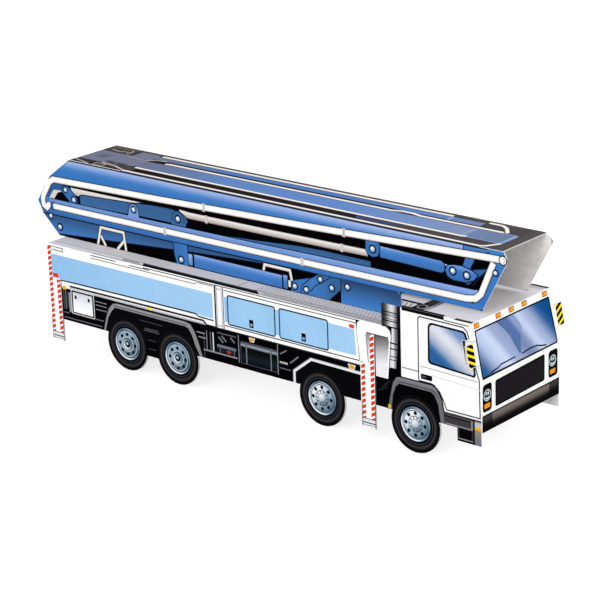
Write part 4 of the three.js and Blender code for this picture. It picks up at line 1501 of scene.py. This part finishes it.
class PUMPTRUCK_OT_side_artwork(bpy.types.Operator):
    """Print the side panels and their wheels"""

    bl_idname = "pumptruck.side_artwork"
    bl_label = "Print Sides"

    def execute(self, context):
        palette = context.scene.pump_truck_colours
        for name, side in SIDES:
            art = side_art(palette, side, HALF_WIDTH)
            draw_rear_body(art)
            draw_rear_arch(art)
            draw_tanks(art)
            draw_middle_body(art)
            draw_front_leg(art)
            draw_exhaust(art)
            draw_cab_door(art)
            draw_front_fender(art)
            draw_steps(art)
            draw_outrigger(art, -131, 54.3, -125.8, 37.2, (2.3, 2.4))
            wheels = side_art(palette, side, HALF_WIDTH, above=art)
            for x, domed in ((-79, False), (-46, False), (42.3, True), (94.8, True)):
                draw_wheel(wheels, x, domed)
            art.finish(f"{name}_side_print", "truck", "side_print")
            wheels.finish(f"{name}_wheel_print", "truck", "side_print")
        return {"FINISHED"}


class PUMPTRUCK_OT_boom_artwork(bpy.types.Operator):
    """Print the boom's sides and top"""

    bl_idname = "pumptruck.boom_artwork"
    bl_label = "Print Boom"

    def execute(self, context):
        palette = context.scene.pump_truck_colours
        inset = 0.08
        for name, side in SIDES:
            art = side_art(palette, side, BOOM_HALF_WIDTH, edges=half_planes(BOOM_RIM, inset))
            draw_boom_side(art)
            art.finish(f"boom_{name}_print", "truck", "boom_print")
        art = level_art(palette, BOOM_TOP)
        draw_boom_top(art)
        art.finish("boom_top_print", "truck", "boom_top_print")
        return {"FINISHED"}


class PUMPTRUCK_OT_deck_artwork(bpy.types.Operator):
    """Print the deck strips, cab roof and cab back"""

    bl_idname = "pumptruck.deck_artwork"
    bl_label = "Print Deck and Roof"

    def execute(self, context):
        palette = context.scene.pump_truck_colours
        for name, side in SIDES:
            art = level_art(palette, DECK, side)
            draw_deck(art)
            art.finish(f"{name}_deck_print", "truck", "deck_print")
        art = level_art(palette, ROOF)
        draw_roof(art)
        art.finish("cab_roof_print", "truck", "cab_print")
        art = Art(palette, (CAB_REAR, 0, 0), AXES["y"], AXES["z"], -AXES["x"])
        draw_cab_back(art)
        art.finish("cab_back_print", "truck", "cab_print")
        return {"FINISHED"}


class PUMPTRUCK_OT_front_artwork(bpy.types.Operator):
    """Print the front, windshield, mirror flaps and rear"""

    bl_idname = "pumptruck.front_artwork"
    bl_label = "Print Front and Rear"

    def execute(self, context):
        palette = context.scene.pump_truck_colours
        art = Art(palette, (NOSE, 0, 0), AXES["y"], AXES["z"], AXES["x"])
        draw_front(art)
        art.finish("front_print", "truck", "cab_print")
        art = Art(palette, (NOSE, 0, SILL), AXES["y"], UP_GLASS, OFF_GLASS)
        draw_windshield(art)
        art.finish("windshield_print", "truck", "cab_print")
        for name, side in SIDES:
            art = Art(palette, (NOSE, 0, SILL), AXES["y"], UP_GLASS, OFF_GLASS)
            draw_mirror_flap(art, side, *mirror_heights())
            art.finish(f"{name}_mirror_print", f"{name}_mirror", "flap_print")
        art = Art(palette, (BODY_REAR, 0, 0), AXES["y"], AXES["z"], -AXES["x"])
        draw_rear(art)
        art.finish("rear_print", "rear_closure", "rear_print")
        return {"FINISHED"}


# name, place, size and power of each round area lamp, in metres and watts
LAMPS = (
    ("key_lamp", (0.4, -1.8, 0.98), 1.5, 22.0),
    ("front_lamp", (1.5, 0.35, 0.75), 1.0, 8.0),
    ("back_lamp", (-0.7, 1.8, 0.98), 1.5, 12.0),
)
LAMP_AIM = Vector((0, 0, 40)) * MM
CAMERA_AIM = Vector((ARTWORK_MIDDLE + 5.919, 0, 44.343)) * MM
SENSOR_WIDTH = 36
FLOOR_RADIUS = 6
AMBIENT = 0.78  # light from all round; the camera sees the background as 1


class PUMPTRUCK_OT_stage(bpy.types.Operator):
    """Set the studio floor, lamps, background and camera"""

    bl_idname = "pumptruck.stage"
    bl_label = "Set Stage"

    def execute(self, context):
        scene = context.scene
        sizes = scene.pump_truck_sizes
        scene.view_settings.view_transform = "Standard"

        bm = bmesh.new()
        bmesh.ops.create_circle(bm, cap_ends=True, segments=64, radius=FLOOR_RADIUS)
        floor = as_object("studio_floor", bm, "studio_floor")

        world = bpy.data.worlds.new("studio")
        world.use_nodes = True
        scene.world = world
        background = world.node_tree.nodes["Background"]
        background.inputs["Color"].default_value = (1, 1, 1, 1)
        path = world.node_tree.nodes.new("ShaderNodeLightPath")
        level = world.node_tree.nodes.new("ShaderNodeMapRange")
        level.inputs["To Min"].default_value = AMBIENT
        level.inputs["To Max"].default_value = 1.0
        world.node_tree.links.new(path.outputs["Is Camera Ray"], level.inputs["Value"])
        world.node_tree.links.new(level.outputs["Result"], background.inputs["Strength"])

        for name, place, size, power in LAMPS:
            lamp = bpy.data.lights.new(name, "AREA")
            lamp.shape, lamp.size, lamp.energy = "DISK", size, power
            holder = bpy.data.objects.new(name, lamp)
            holder.location = place
            way = LAMP_AIM - Vector(place)
            holder.rotation_euler = way.to_track_quat("-Z", "Y").to_euler()
            scene.collection.objects.link(holder)

        turn, rise, roll = sizes.camera_azimuth, sizes.camera_height, sizes.camera_roll
        level_part = math.cos(rise)
        back = Vector((math.sin(turn) * level_part, -math.cos(turn) * level_part, math.sin(rise)))
        right = (-back).cross(AXES["z"]).normalized()
        up = back.cross(right)
        across = right * math.cos(roll) + up * math.sin(roll)
        upright = up * math.cos(roll) - right * math.sin(roll)
        lens = bpy.data.cameras.new("camera")
        lens.sensor_width, lens.lens = SENSOR_WIDTH, sizes.camera_lens
        lens.clip_start, lens.clip_end = 0.05, 20
        camera = bpy.data.objects.new("camera", lens)
        turned = Matrix((across, upright, back)).transposed().to_4x4()
        place = CAMERA_AIM + back * sizes.camera_distance
        camera.matrix_world = Matrix.Translation(place) @ turned
        scene.collection.objects.link(camera)
        scene.camera = camera
        return {"FINISHED"}


STEPS = (
    PUMPTRUCK_OT_materials, PUMPTRUCK_OT_body_boards, PUMPTRUCK_OT_cab_boards, PUMPTRUCK_OT_boom_boards,
    PUMPTRUCK_OT_flap_boards, PUMPTRUCK_OT_side_artwork, PUMPTRUCK_OT_boom_artwork,
    PUMPTRUCK_OT_deck_artwork, PUMPTRUCK_OT_front_artwork, PUMPTRUCK_OT_stage,
)


class PUMPTRUCK_PT_panel(bpy.types.Panel):
    """Every step of the model, in order, with its colours and sizes"""

    bl_idname = "PUMPTRUCK_PT_panel"
    bl_label = "Paperboard Pump Truck"
    bl_space_type = "VIEW_3D"
    bl_region_type = "UI"
    bl_category = "Pump Truck"

    def draw(self, context):
        for step in STEPS:
            self.layout.operator(step.bl_idname)
        for group in (context.scene.pump_truck_sizes, context.scene.pump_truck_colours):
            column = self.layout.box().column()
            for key in group.__annotations__:
                column.prop(group, key)


CLASSES = (PumpTruckColours, PumpTruckSizes, *STEPS, PUMPTRUCK_PT_panel)


def register():
    for cls in CLASSES:
        bpy.utils.register_class(cls)
    bpy.types.Scene.pump_truck_colours = PointerProperty(type=PumpTruckColours)
    bpy.types.Scene.pump_truck_sizes = PointerProperty(type=PumpTruckSizes)


def unregister():
    del bpy.types.Scene.pump_truck_sizes
    del bpy.types.Scene.pump_truck_colours
    for cls in reversed(CLASSES):
        bpy.utils.unregister_class(cls)


def main():
    register()
    for step in STEPS:
        group, name = step.bl_idname.split(".")
        getattr(getattr(bpy.ops, group), name)()


if __name__ == "__main__":
    main()
